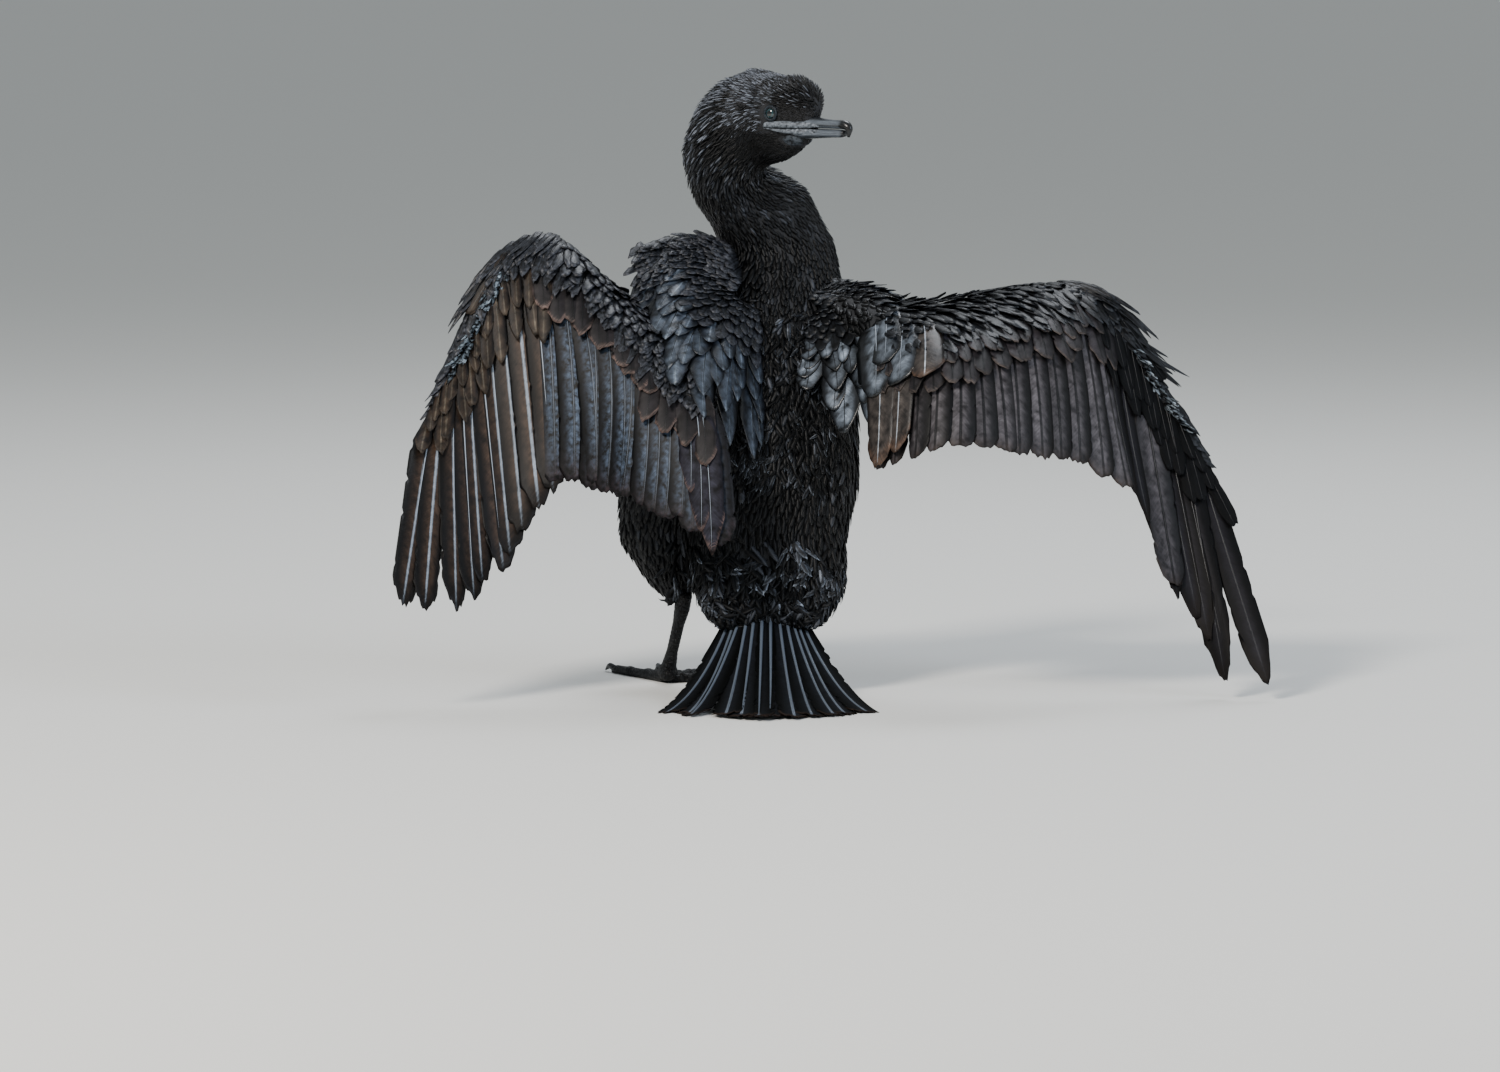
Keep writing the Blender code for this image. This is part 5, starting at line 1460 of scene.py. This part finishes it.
for side_name, wing in WINGS.items():
    left = side_name == "left"
    rng, sheet, rows = wing_rng[side_name], wing["sheet"], ROWS[side_name]
    vanes = Vanes(rng, 27)
    for part, first, last in (("arm", 0.1, WRIST), ("hand", WRIST - 0.1, rows["hand_end"])):
        for start, length, width, rise, count, finish in rows[part]:
            kind = Kind(BLADE_MIDDLE if length > 30 else BLADE_SMALL, width, (-0.4, rise), lean=0.7,
                        camber=0.18, root=0.5, **(SMALL_COVERT if finish == LESSER else LARGE_COVERT))
            if finish == LESSER:
                kind.sweep = rows["sweep"]
            elif finish == PRIMARY_COVERT:
                kind.round_tip = 1.1
            ribs = spread(sheet, count, first, last, 0.0)
            reach, _ = sheet.lengths(ribs)
            for u, near, step in zip(ribs, reach, steps_of(sheet, ribs, reach)):
                begin = near + start * MM
                if begin < 3 * MM and start < -9:
                    continue
                begin = max(begin, 1 * MM)
                u = np.clip(u + rng.normal(0, 0.03), 0, sheet.last)
                end = begin + length * MM * rng.uniform(0.9, 1.1)
                vanes.grow(sheet, u, begin, end, kind, (finish, COVERT_SHAFT), step)
    small = (LESSER, COVERT_SHAFT)
    for start, length, width, count, rise in MARGIN_ROWS:
        kind = Kind(BLADE_SMALL, width, (-0.8, rise), lean=0.5, quill=0.0, fray=0.08, camber=0.2, root=0.6,
                    ruffle=0.5, sweep=rows["sweep"])
        begin = start * MM
        for u in spread(sheet, count, 0.05, 7.95, -0.05):
            u = np.clip(u + rng.normal(0, 0.03), 0, sheet.last)
            vanes.grow(sheet, u, begin, begin + length * MM * rng.uniform(0.85, 1.15), kind, small, NEAR_STEP)
    # The alula: three stiff feathers of the thumb, laid along the lead edge of the hand.
    kind = Kind(BLADE_MIDDLE, 8.0, (1.6, 2.6), lean=0.5, quill=0.35, ruffle=0.2, camber=0.14, sweep=0.75)
    for k in range(3):
        begin = (1.0 + 3.0 * k) * MM
        vanes.grow(sheet, THUMB + 0.1 * k, begin, begin + (38 - 5 * k) * MM, kind,
                   (PRIMARY_COVERT, COVERT_SHAFT), NEAR_STEP)
    # Loose dark feathers that stand out at the wrist, and the patch of down bared behind them.
    for row in range(3):
        kind = Kind(BLADE_SMALL, 5.5, (0.0, 2.0 + row), lean=0.3, quill=0.0, fray=0.15, camber=0.2, root=0.6,
                    round_tip=1.6, tip_power=1.3, ruffle=1.2, sweep=0.9 if left else 1.1)
        begin = (1.0 - 2 * row) * MM
        for u in spread(sheet, 12, *WRIST_RUFF, -0.05):
            u += rng.normal(0, 0.06)
            vanes.grow(sheet, u, begin, begin + 20 * MM * rng.uniform(0.8, 1.3), kind, small, NEAR_STEP)
    kind = Kind(BLADE_SMALL, 3.4, (1.6, 4.4), lean=0.3, quill=0.0, fray=0.4, camber=0.1, root=0.5, ruffle=1.6,
                notch=0.7, round_tip=1.4, tip_power=1.4, sweep=0.3)
    first, last, past = (5.0, 6.7, 3.0) if left else (5.2, 6.9, -4.0)
    for row in range(4):
        for u in spread(sheet, 15, first, last, 0.0):
            begin = float(sheet.lengths(u)[0]) + (2.4 * row + past + rng.normal(0, 1.0)) * MM
            u += rng.normal(0, 0.08)
            end = begin + 9 * MM * rng.uniform(0.6, 1.4)
            vanes.grow(sheet, u, begin, end, kind, (DOWN, COVERT_SHAFT), NEAR_STEP, rng.uniform(0.4, 1.3))
    vanes.join(f"coverts_{side_name}", covert[side_name], "wing_feathers")


# The scapulars: tiers of broad glossy feathers over each shoulder, rooted in its skin, with small ragged
# ones along its ridge, the collar that flows on from the neck, and the long tertials that lie over the
# inner arm.

# Scapulars and tertials: firm and glossy, with near-black edges that part one from the next, and brown where
# they are worn. The scapulars' middles are their own paler grey, lit up by painted highlight so that they
# shine steel grey.
scapular = {
    "left": plumage("slate_scapular", "626d7a", "3b434e", "171a20", "040506", "060708", 0.34, 0.45,
                    tip_start=0.93, edge_start=0.62, mottle=0.9, line=(0.03, 0.08)),
    "right": plumage("steel_grey_scapular", "0b0c0e", "58606a", "121418", "020303", "040506", 0.3, 0.5,
                     tip_start=0.86, edge_start=0.6, mottle=1.1, blotch_size=7.0, line=(0.01, 0.04),
                     streak=1.0),
}
tertial = plumage("brown_tertial", "b4bac2", "3a3532", "2c2826", "0a0807", "46362c", 0.4, 0.35, mottle=0.9,
                  edge_start=0.75, line=(0.02, 0.05))
slate_tertial = plumage("slate_brown_tertial", "1b1b20", "22222a", "1a1920", "0b0a0c", "4a3d3a", 0.6, 0.12,
                        mottle=0.8, edge_start=0.8, tip_start=0.93, tip_reach=0.08)
BROAD, SCAPULAR_SHAFT, RAGGED, BROWN, PALE_SHAFT, SLATE = range(6)

# Tiers of scapulars: where they end as a share of the sheet, length, width, feathers, lift.
SCAPULAR_TIERS = (
    (1.0, 62, 22, 7, 1.6), (0.86, 56, 21, 7, 2.2), (0.74, 46, 19, 8, 2.6), (0.63, 38, 17, 9, 3.0),
    (0.53, 32, 15, 10, 3.2), (0.44, 26, 12, 12, 3.2), (0.36, 22, 10, 14, 3.0), (0.28, 19, 9, 16, 2.8),
    (0.21, 16, 8, 17, 2.6), (0.14, 14, 7, 18, 2.2), (0.08, 12, 6, 18, 1.8),
)
# Large single feathers over the inner arm: rib, root past the quills, length, width, finish.
TERTIALS = {
    "left": ((0.2, 10, 88, 17, SLATE), (0.5, 4, 82, 17, SLATE), (0.85, -4, 70, 16, SLATE)),
    "right": ((0.12, 6, 74, 24, BROWN), (0.42, 4, 70, 22, BROWN), (0.1, -24, 62, 30, BROAD),
              (0.5, -28, 58, 30, BROAD), (0.28, -36, 50, 26, BROAD), (0.8, -26, 56, 22, BROWN),
              (1.05, -30, 50, 20, SLATE)),
}

for side_name, wing in WINGS.items():
    left = side_name == "left"
    rng, sheet, cape = wing_rng[side_name], wing["sheet"], wing["cape"]
    vanes = Vanes(rng, 21)
    for tier, (tip, length, width, count, rise) in enumerate(SCAPULAR_TIERS):
        width *= 1.0 if left or tier > 3 else 1.25
        ribs = spread(cape, count, 0.2 if left else 0.05, cape.last - 0.05, 0.0)
        _, full = cape.lengths(ribs)
        steps = steps_of(cape, ribs, full * tip * 0.7)
        lanceolate = left and tier < 3
        kind = Kind(BLADE_MIDDLE if length > 24 else BLADE_SMALL, width, (-1.0, rise), lean=0.8,
                    round_tip=1.2 if lanceolate else 0.85, tip_power=1.4 if lanceolate else 1.8,
                    quill=(0.45 if left else 0.25) if tier < 4 else 0.0, camber=0.14 if left else 0.2,
                    ruffle=0.35, root=0.4 if left else 0.6)
        finishes = (BROAD if tier < 5 else RAGGED, SCAPULAR_SHAFT)
        for u, whole, step in zip(ribs, full, steps):
            end = whole * tip * rng.uniform(0.95, 1.0)
            begin = max(end - length * MM * rng.uniform(0.9, 1.1), 0.3 * end)
            u = np.clip(u + rng.normal(0, 0.04), 0, cape.last)
            if left and tier < 5 and u < 0.6:
                continue
            vanes.grow(cape, u, begin, end, kind, finishes, step, 1.0 if left else rng.uniform(0.3, 1.7))
    # The ridge of the raised shoulder: many small ragged feathers, whose tips part.
    small = (RAGGED, SCAPULAR_SHAFT)
    kind = Kind(BLADE_SMALL, 6.0, (0.0, 3.2), lean=0.4, quill=0.0, fray=0.2, notch=0.5, root=0.6, camber=0.16,
                round_tip=1.3, tip_power=1.4, ruffle=0.9, sweep=0.2)
    for tip in np.linspace(0.06, 0.98, 16):
        for u in np.linspace(0.0, 0.75 if left else 0.4, 9 if left else 5):
            end = float(cape.lengths(u)[1]) * tip * rng.uniform(0.94, 1.04)
            u += rng.normal(0, 0.05)
            vanes.grow(cape, u, end - 20 * MM * rng.uniform(0.8, 1.2), end, kind, small, NEAR_STEP)
    # The collar: feathers that flow from the neck on to the shoulder.
    kind = Kind(BLADE_SMALL, 8.5, (-1.0, 2.4), lean=0.4, quill=0.0, fray=0.1, root=0.6, camber=0.16,
                ruffle=0.5)
    for row in range(4):
        for u in np.linspace(0.0, 2.6, 16):
            end = (-5 + 5 * row + rng.normal(0, 1.2)) * MM
            vanes.grow(cape, u + rng.normal(0, 0.04), end - 28 * MM, end, kind, small, 8 * MM)
    for u, start, length, width, finish in TERTIALS[side_name]:
        kind = Kind(BLADE_MIDDLE, width, (2.0, 4.6), lean=0.5, round_tip=0.45, tip_power=2.6, quill=0.35,
                    camber=0.12, root=0.55)
        if finish == SLATE:
            kind.round_tip, kind.tip_power, kind.quill, kind.lift = 1.2, 1.5, 0.3, (1.0, 2.6)
        begin = float(sheet.lengths(u)[0]) + start * MM
        vanes.grow(sheet, u, begin, begin + length * MM, kind, (finish, PALE_SHAFT), 20 * MM)
    finishes = (scapular[side_name], dark_shaft, covert[side_name][LESSER], tertial, pale_shaft,
                slate_tertial)
    vanes.join(f"scapulars_{side_name}", finishes, "wing_feathers")
